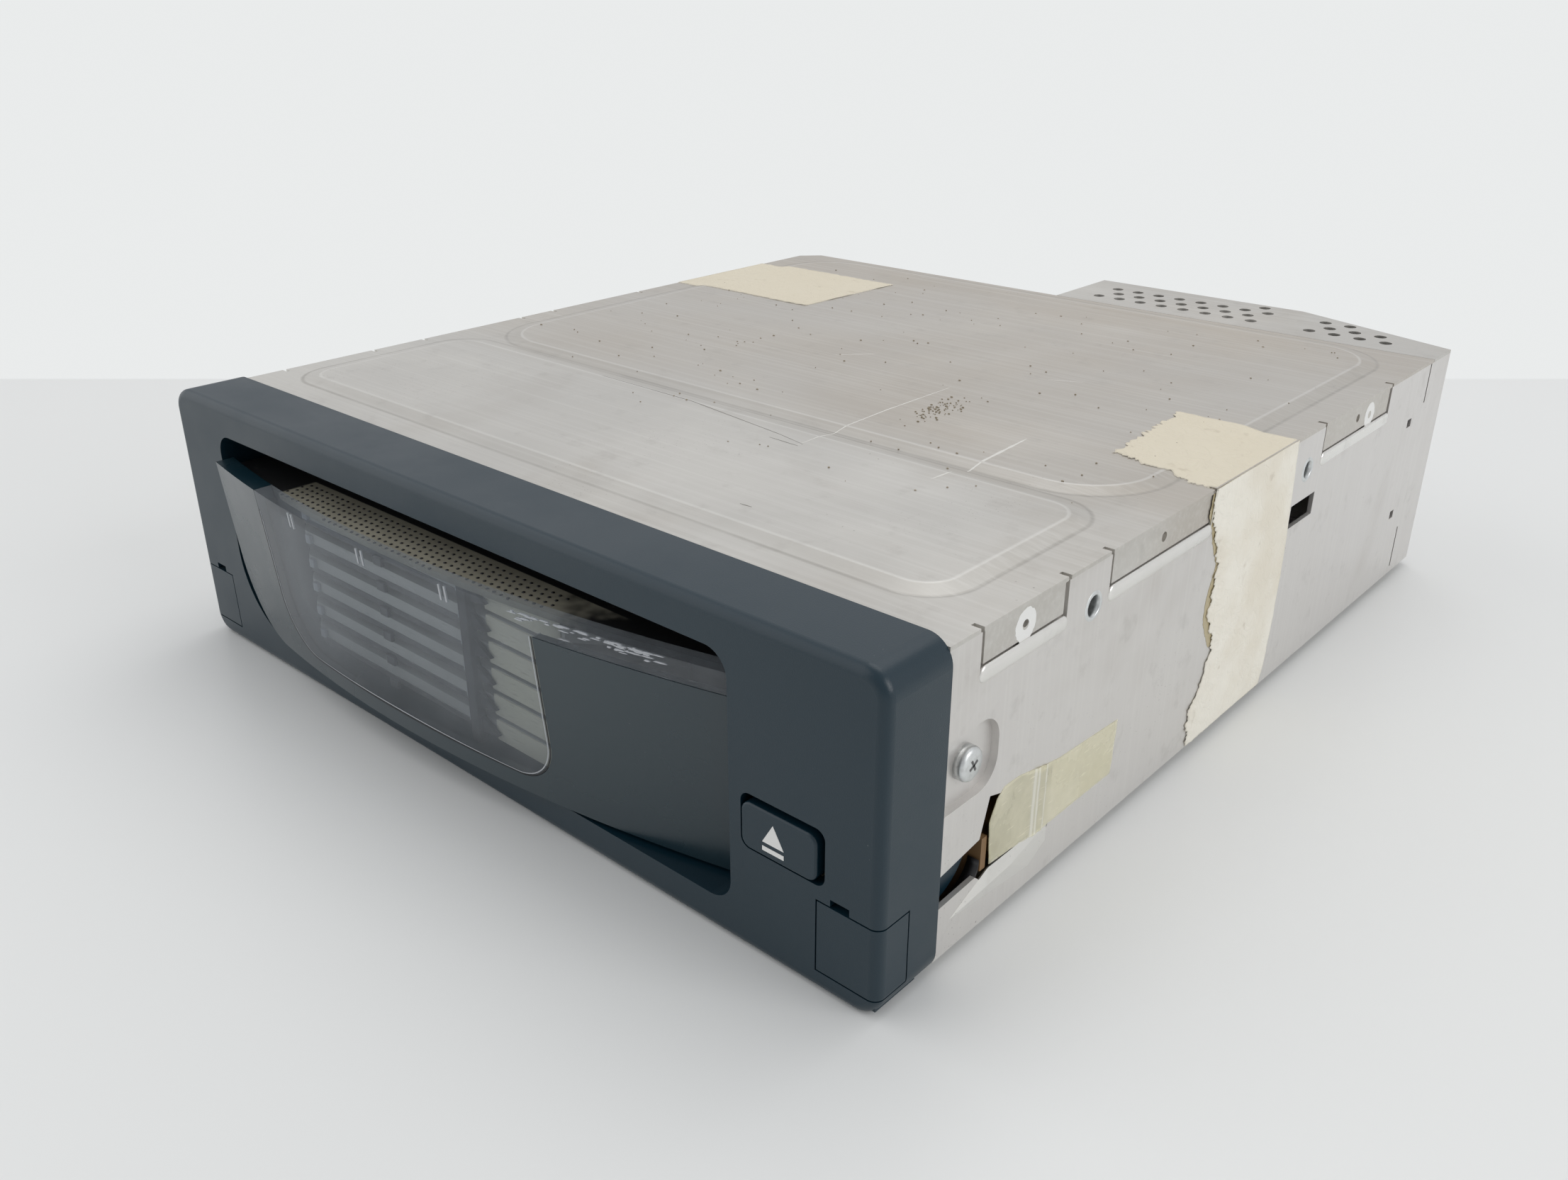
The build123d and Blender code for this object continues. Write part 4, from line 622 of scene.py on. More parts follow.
@dataclass
class MagazineDetails:
    """Grip pips, the window's seam and what shows behind the window."""

    pip_pitch: float = 2.15
    pip_rows: int = 6
    pip_x: Pair = (-61.5, 31.0)
    pip_depth: Pair = (-3.0, 6.0)
    pip_level: Pair = (0.049, 0.0506)
    pip_radius: float = 0.00042
    window: Point = (-63.8, 32.0, 12.6)
    corner: Pair = (13.0, 10.0)
    rim: float = 47.0
    tray_level: float = 15.85
    tray_pitch: float = 5.96
    tray_count: int = 6
    face_radius: float = 390.0
    face_middle: float = -20.0
    face_depth: float = -8.5
    face_top: float = 51.6
    lean: float = math.radians(5)
    mark_x: tuple[float, ...] = (-47.0, -45.5, -19.0, -17.2, 8.0, 9.6)
    mark_z: Pair = (47.6, 51.0)
    scuffs: int = 60

    def surface(self, x: float, z: float, lift: float) -> Vector:
        """The point of the bowed, leaning face at a place across and up, lifted off it by some millimetres."""
        bow = self.face_radius - math.sqrt(self.face_radius ** 2 - (x - self.face_middle) ** 2)
        return place(x, self.face_depth + bow + (self.face_top - z) * math.tan(self.lean) - lift, z)

    def levels(self, shift: float = 0.0, more: int = 0) -> list[float]:
        """The middle height of each tray, shifted by a share of the pitch, with some more above."""
        return [self.tray_level + (index + shift) * self.tray_pitch for index in range(self.tray_count + more)]

    def pips(self, shop: Workshop, skin: Skin) -> None:
        """Small domes in staggered rows on the ledge behind the clear rim."""
        shape = bmesh.new()
        (left, right), (front, back), (low, high) = self.pip_x, self.pip_depth, self.pip_level
        for row in range(self.pip_rows):
            depth = front + row * (back - front) / (self.pip_rows - 1)
            for column in range(int((right - left) / self.pip_pitch)):
                spot = skin.above(left + (column + 0.5 * (row % 2)) * self.pip_pitch, depth)
                if low < spot.z < high:
                    made = bmesh.ops.create_icosphere(shape, subdivisions=1, radius=self.pip_radius)["verts"]
                    bmesh.ops.scale(shape, vec=(1, 1, 0.7), verts=made)
                    bmesh.ops.translate(shape, vec=spot, verts=made)
        shop.finish(shape, "grip_pips", Body.MAGAZINE, "dark_plastic", "dark_plastic", smooth=True)

    def outline(self) -> list[Pair]:
        """Points along the window's edge, from the rim down and round to the rim again."""
        left, right, bottom = self.window
        big, small = self.corner
        turns = [math.radians(6 * k) for k in range(16)]
        points = [(left, self.rim - 0.1 - step * 1.5) for step in range(int((self.rim - bottom - big) / 1.5) + 1)]
        points += [(left + big * (1 - math.cos(a)), bottom + big * (1 - math.sin(a))) for a in turns]
        points += [(left + big + (right - small - left - big) * k / 30, bottom) for k in range(1, 30)]
        points += [(right - small * (1 - math.sin(a)), bottom + small * (1 - math.cos(a))) for a in turns]
        rise = self.rim - bottom - small
        return points + [(right, bottom + small + rise * k / 16) for k in range(1, 17)]

    def seam(self, shop: Workshop) -> None:
        """The dark hairline round the window, and the pale edge inside it."""
        middle = Vector(((self.window[0] + self.window[1]) / 2, 34.0))
        for name, inset, width, finish in (("window_seam", -0.05, 0.34, "dark_plastic"),
                                           ("window_edge", 0.55, 0.25, "edge_light")):
            shape = bmesh.new()
            rows = []
            for x, z in self.outline():
                inward = (middle - Vector((x, z))).normalized()
                rows.append([shape.verts.new(self.surface(x + inward.x * reach, z + inward.y * reach, 0.05))
                             for reach in (inset, inset + width)])
            shop.span(shape, rows)
            shop.thicken(shape, 0.03)
            shop.finish(shape, name, Body.MAGAZINE, finish, "smoky_window")

    def tray_fronts(self, shop: Workshop) -> None:
        """A strip of painted shade in the gap at each tray's front, and a pale tab on the front of each tray."""
        # Each tray gets a dark strip of painted shade where the trays' fronts part, and a pale tab.
        for number, mid in enumerate(self.levels(), 1):
            for part, low, high, edge, finish in (
                    ("gap_shade", (-57.5, 1.32, mid - 2.5), (2.8, 1.62, mid - 1.1), 0.1, "shadow_grey"),
                    ("tab", (9.6, 1.22, mid - 2.45), (33.0, 1.62, mid + 2.4), 0.25, "tab_plastic")):
                shape = bmesh.new()
                shop.slab(shape, low, high, edge)
                shop.finish(shape, f"tray_{number}_{part}", Body(f"tray_{number}"), finish, "tray_plastic")

    def behind(self, shop: Workshop) -> None:
        """The upright post with dark pointed wedges of painted shadow, the comb with dark slabs of painted shade
        for its notches, and the bright clips behind the window.
        """
        post, clips, notches = bmesh.new(), bmesh.new(), bmesh.new()
        shop.slab(post, (3.6, -0.9, 12.0), (6.4, 1.3, 48.0), 0.2)
        for mid in self.levels():
            # Each dark pointed wedge beside the post is a painted shadow.
            shadow_wedge = [place(6.2, 1.0, mid - 1.5), place(6.2, 1.0, mid + 2.4), place(11.6, 1.0, mid - 0.6)]
            shop.prism(post, shadow_wedge, Vector((0, -0.0009, 0)))
            for x in (-56.6, 1.2):
                shop.slab(clips, (x, 0.5, mid - 0.9), (x + 1.9, 1.4, mid + 1.2), 0.15)
        # Each notch is a dark slab of painted shade.
        for mid in self.levels(-0.5, 1):
            shop.slab(notches, (-28.6, 0.5, mid - 0.9), (-25.6, 1.4, mid + 1.2), 0.15)
        shop.finish(post, "comb_post_and_shadows", Body.MAGAZINE, "dark_plastic", "dark_plastic")
        shop.finish(clips, "tray_clips", Body.MAGAZINE, "edge_light", "tray_plastic")
        shop.finish(notches, "comb_notches", Body.MAGAZINE, "shadow_grey", "dark_plastic")

    def inlay(self, shop: Workshop, name: str, patches: list[list[Pair]]) -> None:
        """Sets thin pale patches into the clear rim.

        Args:
            shop: what makes the piece.
            name: its name.
            patches: the corners of each patch, across and up.
        """
        shape = bmesh.new()
        for patch in patches:
            shop.prism(shape, [self.surface(x, z, 0.04) for x, z in patch], Vector((0, 0.0003, 0)))
        shop.finish(shape, name, Body.MAGAZINE, "edge_light", "smoky_window")

    def rim_marks(self, shop: Workshop) -> None:
        """Small clip marks inside the clear rim."""
        low, high = self.mark_z
        self.inlay(shop, "rim_marks", [[(x - 0.25, low), (x + 0.25, low), (x + 0.25, high), (x - 0.25, high)]
                                       for x in self.mark_x])

    def rim_scuffs_and_highlight(self, shop: Workshop) -> None:
        """Pale scuffs along the right half of the clear rim, which are partly painted highlight along its top
        edge.
        """
        draw = random.Random(41)
        flake = ((-1, -0.6), (0.1, -1), (1, -0.2), (0.7, 0.9), (-0.5, 1))
        patches = []
        # These flakes along the rim's top edge are partly real scuffs and partly painted highlight.
        for _ in range(self.scuffs):
            x, z = draw.uniform(27, 62), 51.4 - abs(draw.gauss(0, 0.8))
            wide, tall = draw.uniform(0.3, 1.6), draw.uniform(0.08, 0.22)
            patches.append([(x + wide * across, z + tall * up) for across, up in flake])
        self.inlay(shop, "rim_scuffs_and_highlight", patches)

    def build(self, shop: Workshop, ledge: Skin) -> None:
        """Builds every piece of the magazine."""
        self.rim_scuffs_and_highlight(shop)
        self.pips(shop, ledge)
        self.seam(shop)
        self.tray_fronts(shop)
        self.behind(shop)
        self.rim_marks(shop)


@dataclass
class BoxDetails:
    """Painted rings, threads, screw heads and pressed forms of the steel box."""

    wall: float = 109.0
    tabs: tuple[Pair, ...] = ((26.0, 50.4), (67.0, 106.0), (164.5, 205.0))
    left_tabs: tuple[Pair, ...] = ((30.0, 54.0), (72.0, 104.0), (118.0, 151.0))
    rings: tuple[Pair, ...] = ((38.2, 59.0), (192.6, 58.6))
    ring_steps: int = 40
    taps: Pair = (60.8, 156.1)
    tap_height: float = 54.3
    bead: float = 1.6
    bead_height: float = 54.6
    bead_end: float = 1.2
    screw: Pair = (24.2, 38.6)
    screw_foot: float = 107.5
    screw_head: float = 2.1
    gusset_rim: tuple[Pair, ...] = ((20.8, 8.9), (32.0, 13.5), (42.0, 13.4), (51.5, 12.8), (51.5, 9.0),
                                    (46.0, 6.2), (33.0, 7.6))
    gusset_ridge: tuple[Pair, ...] = ((31.0, 10.4), (38.5, 10.8))
    gusset_faces: tuple[tuple[int, int, int], ...] = (
        (0, 7, 1), (0, 6, 7), (7, 8, 2), (7, 2, 1), (7, 6, 8), (6, 5, 8), (8, 5, 4), (8, 4, 3), (8, 3, 2))

    def paint(self, shop: Workshop) -> None:
        """White paint rings with a run below them, round the holes in two tabs."""
        rng = random.Random(5)
        shape = bmesh.new()
        for depth, z in self.rings:
            centre = place(self.wall - 0.17, depth, z)
            rows = []
            for step in range(self.ring_steps):
                angle = 2 * math.pi * step / self.ring_steps
                reach = 3.1 + rng.uniform(-0.12, 0.12) + 0.35 * max(0.0, -math.sin(angle)) ** 6
                way = Vector((0, math.cos(angle), math.sin(angle)))
                rows.append([shape.verts.new(centre + way * size / 1000) for size in (0.95, reach)])
            shop.span(shape, rows + rows[:1])
        shop.thicken(shape, 0.05)
        shop.finish(shape, "paint_rings", Body.HOUSING, "white_paint", "zinc_steel")

    def threads(self, shop: Workshop) -> None:
        """A raised rim and cut threads in each of the four mounting holes."""
        shape = bmesh.new()
        ridges = [(2.08 if step % 2 else 1.86, -2.4 + step * 0.4) for step in range(6)]
        outline = ridges + [(2.1, 0.05), (2.3, 0.16), (2.7, 0.16), (2.95, 0.0)]
        for side in (-1, 1):
            for depth in self.taps:
                shop.lathe(shape, outline, place(side * self.wall, depth, self.tap_height),
                           Vector((side, 0, 0)), 36)
        shop.finish(shape, "tapped_rims", Body.HOUSING, "plated_metal", "zinc_steel", smooth=True)

    def screws(self, shop: Workshop) -> None:
        """Domed heads in the two side recesses, each with a cross slot drawn as dark bars of painted shade."""
        heads, slots = bmesh.new(), bmesh.new()
        outline = [(1.35, -6.0), (1.35, 0.0), (3.2, 0.0), (3.22, 1.2), (3.0, 1.75), (2.5, 2.02),
                   (0.0, self.screw_head)]
        for side in (-1, 1):
            shop.lathe(heads, outline, place(side * self.screw_foot, *self.screw), Vector((side, 0, 0)), 40)
            top = place(side * (self.screw_foot + self.screw_head - 0.02), *self.screw)
            # The slot is not cut: two dark bars on the head paint its shade.
            for turn in (0.5, 0.5 + math.pi / 2):
                made = bmesh.ops.create_cube(slots, size=1)["verts"]
                bmesh.ops.scale(slots, vec=(0.00012, 0.0024, 0.00045), verts=made)
                bmesh.ops.rotate(slots, cent=(0, 0, 0), matrix=Matrix.Rotation(turn, 3, "X"), verts=made)
                bmesh.ops.translate(slots, vec=top, verts=made)
        shop.finish(heads, "side_screw_heads", Body.HOUSING, "plated_metal", "plated_steel", True,
                    "damper_screws")
        shop.finish(slots, "side_screw_slots", Body.HOUSING, "shadow_grey", "plated_steel")

    def beads(self, shop: Workshop) -> None:
        """The rounded lower lip of the pressed pocket under each of the cover's tabs, in brighter steel that
        paints its highlight.
        """
        rounds = [(self.bead * math.sin(a), self.bead * (1 - math.cos(a)))
                  for a in (math.radians(15 * k) for k in range(7))]
        for side, name, tabs in ((1, "right", self.tabs), (-1, "left", self.left_tabs)):
            for number, (front, back) in enumerate(tabs, 1):
                length = back - front + 2 * self.bead_end
                shape = bmesh.new()
                outline = rounds + [(r, length - h) for r, h in reversed(rounds)]
                shop.lathe(shape, outline, place(0, front - self.bead_end, 0), Vector((0, 1, 0)), 28)
                bmesh.ops.scale(shape, vec=(0.34, 1, 1), verts=shape.verts[:])
                bmesh.ops.translate(shape, vec=(side * (self.wall - 0.06) / 1000, 0, self.bead_height / 1000),
                                    verts=shape.verts[:])
                shop.finish(shape, f"{name}_bead_{number}", Body.HOUSING, "highlight_steel", "zinc_steel", True)

    def gusset(self, shop: Workshop) -> None:
        """The three-cornered fold pressed into the foot of the right side, in brighter steel that paints its
        highlight.
        """
        shape = bmesh.new()
        points = [shape.verts.new(place(self.wall + rise, depth, z))
                  for rise, outline in ((0.03, self.gusset_rim), (0.66, self.gusset_ridge))
                  for depth, z in outline]
        for corners in self.gusset_faces:
            shape.faces.new([points[k] for k in corners])
        shop.thicken(shape, 0.3)
        shop.finish(shape, "pressed_gusset", Body.HOUSING, "highlight_steel", "zinc_steel")

    def hollow_edge(self, shop: Workshop) -> None:
        """The curved black rib that shows inside the side opening."""
        shape = bmesh.new()
        rails = []
        for step in range(9):
            angle = math.radians(90 * step / 8)
            depth, z = 16.6 + 13.0 * math.sin(angle), 8.6 + 6.5 * (1 - math.cos(angle))
            rails.append([shape.verts.new(place(x, depth, z + lift))
                          for x, lift in ((106.2, 0), (108.6, 0), (108.6, 1.1), (106.2, 1.1))])
        shop.span(shape, [rail + rail[:1] for rail in rails])
        shape.faces.new(rails[0])
        shape.faces.new(rails[-1])
        bmesh.ops.recalc_face_normals(shape, faces=shape.faces[:])
        shop.finish(shape, "inner_rib", Body.HOUSING, "dark_plastic", "dark_plastic", smooth=True)

    def build(self, shop: Workshop) -> None:
        """Builds every small form of the box."""
        for step in (self.paint, self.threads, self.screws, self.beads, self.gusset, self.hollow_edge):
            step(shop)


@dataclass
class CoverMarks:
    """Fine creases, pale scratches, dirt and small flecks on the cover."""

    scratches: Lines = (
        (((30.5, 70.5), (30.1, 81.6), (29.4, 103.8), (29.8, 128.0)), 0.32),
        (((66.4, 82.4), (65.1, 106.8)), 0.7),
        (((64.4, 72.5), (64.9, 79.0)), 0.4),
        (((-11.0, 132.0), (-3.0, 141.0)), 0.3),
        (((44.0, 150.0), (52.0, 153.5)), 0.3),
    )
    creases: Lines = (
        (((-42.0, 78.4), (-9.6, 78.0), (22.7, 73.4), (31.0, 71.6)), 0.28),
        (((45.1, 37.1), (48.0, 37.3)), 0.4),
        (((22.4, 70.4), (31.0, 70.1)), 0.25),
    )
    crumbs: Pair = (38.2, 112.5)
    crumb_count: int = 90
    grain_count: int = 170

    @staticmethod
    def trail(points: tuple[Pair, ...]) -> list[Pair]:
        """Splits a broken line into steps of about a millimetre."""
        steps = []
        for (a, b), (c, d) in zip(points, points[1:]):
            count = max(2, int(math.hypot(c - a, d - b)))
            steps += [(a + (c - a) * k / count, b + (d - b) * k / count) for k in range(count)]
        return steps + [points[-1]]

    def lines(self, shop: Workshop, skin: Skin, name: str, table: Lines, finish: str) -> None:
        """Thin tapering strips that follow the cover."""
        rng = random.Random(len(name))
        shape = bmesh.new()
        for points, width in table:
            steps = self.trail(points)
            rows = []
            for index, (x, depth) in enumerate(steps):
                near = steps[min(index + 1, len(steps) - 1)]
                far = steps[max(index - 1, 0)]
                way = Vector((near[0] - far[0], near[1] - far[1])).normalized()
                share = index / (len(steps) - 1)
                half = width * (0.25 + 0.75 * math.sin(math.pi * share) ** 0.5) / 2 * rng.uniform(0.7, 1.2)
                row = [skin.above(x - way.y * side * half, depth + way.x * side * half) for side in (-1, 1)]
                rows.append([shape.verts.new(spot + Vector((0, 0, 0.00002))) for spot in row])
            shop.span(shape, rows)
        shop.thicken(shape, 0.02)
        shop.finish(shape, name, Body.HOUSING, finish, "zinc_steel")

    def dirt(self, shop: Workshop, skin: Skin) -> None:
        """A patch of brown crumbs and a scatter of dust grains."""
        rng = random.Random(41)
        shape = bmesh.new()
        for index in range(self.crumb_count + self.grain_count):
            if index < self.crumb_count:
                x, depth = rng.gauss(self.crumbs[0], 2.0), rng.gauss(self.crumbs[1], 5.0)
            else:
                x, depth = rng.uniform(-96, 98), rng.uniform(60, 225)
            spot = skin.above(x, depth)
            size = rng.uniform(0.00012, 0.0003)
            made = bmesh.ops.create_icosphere(shape, subdivisions=1, radius=size)["verts"]
            bmesh.ops.scale(shape, vec=(rng.uniform(0.7, 1.5), 1, 0.6), verts=made)
            bmesh.ops.translate(shape, vec=spot + Vector((0, 0, size * 0.3)), verts=made)
        shop.finish(shape, "cover_crumbs", Body.HOUSING, "crumb_brown", "zinc_steel")

    def build(self, shop: Workshop, skin: Skin) -> None:
        """Builds every mark."""
        self.lines(shop, skin, "cover_scratches", self.scratches, "edge_pale")
        self.lines(shop, skin, "cover_creases", self.creases, "crease_dark")
        self.dirt(shop, skin)


@dataclass
class Labels:
    """Blank paper seals and the creased clear tape."""

    wall: float = 109.0
    thickness: float = 0.16
    glue_steps: int = 76
    side_front: tuple[Pair, ...] = (
        (63.4, 106.4), (58.0, 107.3), (51.0, 109.6), (45.0, 113.2), (40.0, 111.6), (33.0, 112.2),
        (24.0, 116.0), (17.3, 113.0), (12.2, 109.2), (2.4, 109.2))
    side_back: tuple[Pair, ...] = ((63.4, 147.7), (36.0, 150.2), (20.0, 150.0), (8.7, 149.2),
                                                  (2.4, 147.6))
    tape_edge: tuple[Pair, ...] = (
        (32.2, 14.2), (39.5, 13.6), (47.6, 12.6), (75.0, 12.4), (75.8, 24.4), (54.0, 25.9), (50.0, 26.6),
        (45.5, 27.6), (40.1, 28.7), (35.5, 28.8), (33.4, 27.2), (31.4, 23.3))

    @staticmethod
    def along(table: tuple[Pair, ...], key: float) -> float:
        """Reads a value between the rows of a falling table."""
        for (a, u), (b, v) in zip(table, table[1:]):
            if key >= b:
                return u + (v - u) * max(0.0, min(1.0, (a - key) / (a - b)))
        return table[-1][1]

    @staticmethod
    def ripple(u: float, v: float, seed: float) -> float:
        """A gentle wrinkle height between 0 and 1."""
        wave = math.sin(u * 0.55 + seed) * math.sin(v * 0.31 + 1.7 * seed) + 0.5 * math.sin(u * 1.3 + v * 0.8)
        return 0.5 + wave / 3.2

    @staticmethod
    def bell(value: float, middle: float, width: float) -> float:
        """A bell curve that is 1 at its middle."""
        return math.exp(-((value - middle) / width) ** 2)

    def on_cover(self, skin: Skin, x: float, depth: float, lift: float) -> Vector:
        """The point of a seal that lies on the cover, lifted by some metres."""
        inside = self.wall - 0.3
        spot = skin.above(max(-inside, min(x, inside)), depth)
        return Vector((x / 1000, spot.y, spot.z + lift))

    def side_seal(self, shop: Workshop, skin: Skin) -> None:
        """The seal that lies on the cover and turns down the right side, torn at its front edge."""
        rng = random.Random(11)
        shape = bmesh.new()
        columns, rows = 48, 220
        top_length, side_length = 26.4, 60.8
        jag = [rng.uniform(-0.5, 0.5) + 0.5 * math.sin(row * 0.21) + 0.3 * math.sin(row * 0.57)
               for row in range(rows + 1)]
        end = [rng.uniform(-0.9, 0.9) for _ in range(columns + 1)]
        grid = []
        for row in range(rows + 1):
            travel = (top_length + side_length) * row / rows
            near = travel / top_length
            z = 63.7 - (travel - top_length) * (63.7 - 2.5) / side_length
            if near < 1:
                front, back = 111.0 - 4.6 * near, 146.7 + near
            else:
                front, back = self.along(self.side_front, z), self.along(self.side_back, z)
            line = []
            for column in range(columns + 1):
                share = column / columns
                depth = front + (back - front) * share + jag[row] * (1 - share) ** 3
                if near < 1:
                    x = 83.9 - 2.6 * share + end[column] * max(0.0, 1 - travel / 4)
                    x += (self.wall + 0.3 - x) * near
                    fall = max(0.0, x - self.wall + 0.9)
                    lift = 0.0001 + 0.00022 * self.ripple(x, depth, 0.4) * (1 - near) - fall * fall * 0.00035
                    spot = self.on_cover(skin, x, depth, lift)
                else:
                    crumple = (1 - share) ** 2.5 * self.ripple(z * 4, depth * 3, 2)
                    spot = place(self.wall + 0.1 + 0.12 * self.ripple(z, depth, 1.1) + 0.3 * crumple, depth, z)
                line.append(shape.verts.new(spot))
            grid.append(line)
        shop.span(shape, grid)
        self.lay(shop, shape, "side_seal", "seal_paper", "seal_paper", "paper_seal_side")

    def lay(self, shop: Workshop, shape: Shape, name: str, finish: str, slot: str, node: str) -> None:
        """Gives a sheet its thickness and finishes it in place of a node."""
        shop.thicken(shape, self.thickness)
        shop.finish(shape, name, Body.HOUSING, finish, slot, True, node)

    def top_seal(self, shop: Workshop, skin: Skin) -> None:
        """The seal on the left rear of the cover, folded a little down the left side."""
        rng = random.Random(23)
        shape = bmesh.new()
        columns, rows = 40, 64
        flat, full = 55.0, 70.5
        jag = [rng.uniform(-0.5, 0.5) for _ in range(rows + 1)]
        grid = []
        for row in range(rows + 1):
            share = row / rows
            reach = share * full
            line = []
            for column in range(columns + 1):
                across = column / columns
                inner = -54.0 + 2.0 * across + jag[row % 7] * 0.3
                depth = 170.4 + 41.0 * across + jag[row] * ((1 - across) ** 3 + across ** 3) * 0.6
                if reach < flat:
                    x = inner - reach * (self.wall + 0.2 + inner) / flat
                    lift = 0.0001 + 0.0002 * self.ripple(x, depth, 2.2) * (1 - share)
                    spot = self.on_cover(skin, x, depth, lift)
                else:
                    out = self.wall + 0.15 + 0.1 * self.ripple(reach, depth, 3)
                    spot = place(-out, depth, 63.6 - (reach - flat))
                line.append(shape.verts.new(spot))
            grid.append(line)
        shop.span(shape, grid)
        self.lay(shop, shape, "top_seal", "seal_paper", "seal_paper", "paper_seal_top")

    def tape(self, shop: Workshop) -> None:
        """The yellowed film over the side opening, with two upright folds and a sunk middle."""
        shape = bmesh.new()
        shape.faces.new([shape.verts.new(place(self.wall + 0.1, depth, z)) for depth, z in self.tape_edge])
        cuts = [(place(0, depth, 0), (0, 1, 0)) for depth in range(32, 76)]
        cuts += [(place(0, 0, z), (0, 0, 1)) for z in range(11, 29)]
        for spot, way in cuts:
            bmesh.ops.bisect_plane(shape, geom=shape.verts[:] + shape.edges[:] + shape.faces[:],
                                   plane_co=spot, plane_no=way)
        for vert in shape.verts:
            depth, z = (vert.co.y - FRONT_Y) * 1000, vert.co.z * 1000
            fold = 0.42 * self.bell(depth, 46.5, 0.8) + 0.3 * self.bell(depth, 49.0, 0.7)
            sag = 0.35 * self.bell(depth, 40, 4.5) * self.bell(z, 20, 5.0)
            vert.co.x += (fold - sag + 0.04 * math.sin(depth * 1.9) * math.sin(z * 1.1)) / 1000
        self.lay(shop, shape, "side_tape", "film", "clear_film", "clear_tape")

    def glue(self, shop: Workshop) -> None:
        """Yellow glue that shows where the side seal has torn away."""
        rng = random.Random(31)
        shape = bmesh.new()
        rows = []
        for step in range(self.glue_steps):
            z = 62.6 - step * 0.5
            front = self.along(self.side_front, z)
            reach = 0.5 + 1.6 * self.bell(z, 33, 7.0) + 1.1 * self.bell(z, 58, 2.5)
            edge = front - reach - rng.uniform(0.0, 0.35)
            rows.append([shape.verts.new(place(self.wall + 0.05, depth, z)) for depth in (edge, front + 2.5)])
        shop.span(shape, rows)
        shop.thicken(shape, 0.04)
        shop.finish(shape, "seal_glue", Body.HOUSING, "glue", "seal_paper")

    def build(self, shop: Workshop, skin: Skin) -> None:
        """Builds both seals, the glue and the tape."""
        self.side_seal(shop, skin)
        self.glue(shop)
        self.top_seal(shop, skin)
        self.tape(shop)


@dataclass
class BoardDetails:
    """Small parts on the boards and on the mechanism."""

    board_top: float = 8.6
    cans: tuple[tuple[float, float, float, float], ...] = (
        (80.0, 70.0, 5.0, 20.0), (92.0, 70.0, 5.0, 20.0), (99.0, 84.0, 4.0, 16.0), (80.0, 86.0, 4.0, 12.0),
        (99.0, 170.0, 5.0, 22.0))
    chips: tuple[tuple[float, float, float, float], ...] = (
        (86.0, 112.0, 14.0, 14.0), (88.0, 136.0, 20.0, 12.0), (84.0, 158.0, 10.0, 10.0))
    leg_pitch: float = 1.27
    spindle: Pair = (-8.0, 152.0)

    def lids(self, shop: Workshop) -> None:
        """Scored aluminium lids on the capacitors."""
        shape = bmesh.new()
        for x, depth, radius, height in self.cans:
            outline = [(0, 0.35), (radius * 0.5, 0.35), (radius * 0.62, 0.2), (radius - 0.5, 0.2),
                       (radius - 0.2, 0.0)]
            shop.lathe(shape, outline, place(x, depth, self.board_top + height), Vector((0, 0, 1)), 28)
        shop.finish(shape, "capacitor_lids", Body.HOUSING, "plated_metal", "plated_steel", smooth=True)

    def legs(self, shop: Workshop) -> None:
        """Bent legs along two sides of each chip."""
        shape = bmesh.new()
        for x, depth, width, length in self.chips:
            for side in (-1, 1):
                near = depth + side * length / 2
                low, high = sorted((near, near + side * 1.1))
                for k in range(1, int(width / self.leg_pitch)):
                    at = x - width / 2 + self.leg_pitch * k
                    shop.slab(shape, (at - 0.2, low, self.board_top), (at + 0.2, high, self.board_top + 0.9), 0.1)
        shop.finish(shape, "chip_legs", Body.HOUSING, "plated_metal", "plated_steel")

    def mat(self, shop: Workshop) -> None:
        """The rubber ring on the turntable."""
        shape = bmesh.new()
        outline = [(8.2, 15.18), (8.3, 15.45), (12.4, 15.45), (12.6, 15.18)]
        shop.lathe(shape, outline, place(*self.spindle, 0), Vector((0, 0, 1)), 48)
        shop.finish(shape, "turntable_mat", Body.PLATTER, "rubber", "damper_rubber", smooth=True)

    def build(self, shop: Workshop) -> None:
        """Builds the small inner parts."""
        for step in (self.lids, self.legs, self.mat):
            step(shop)


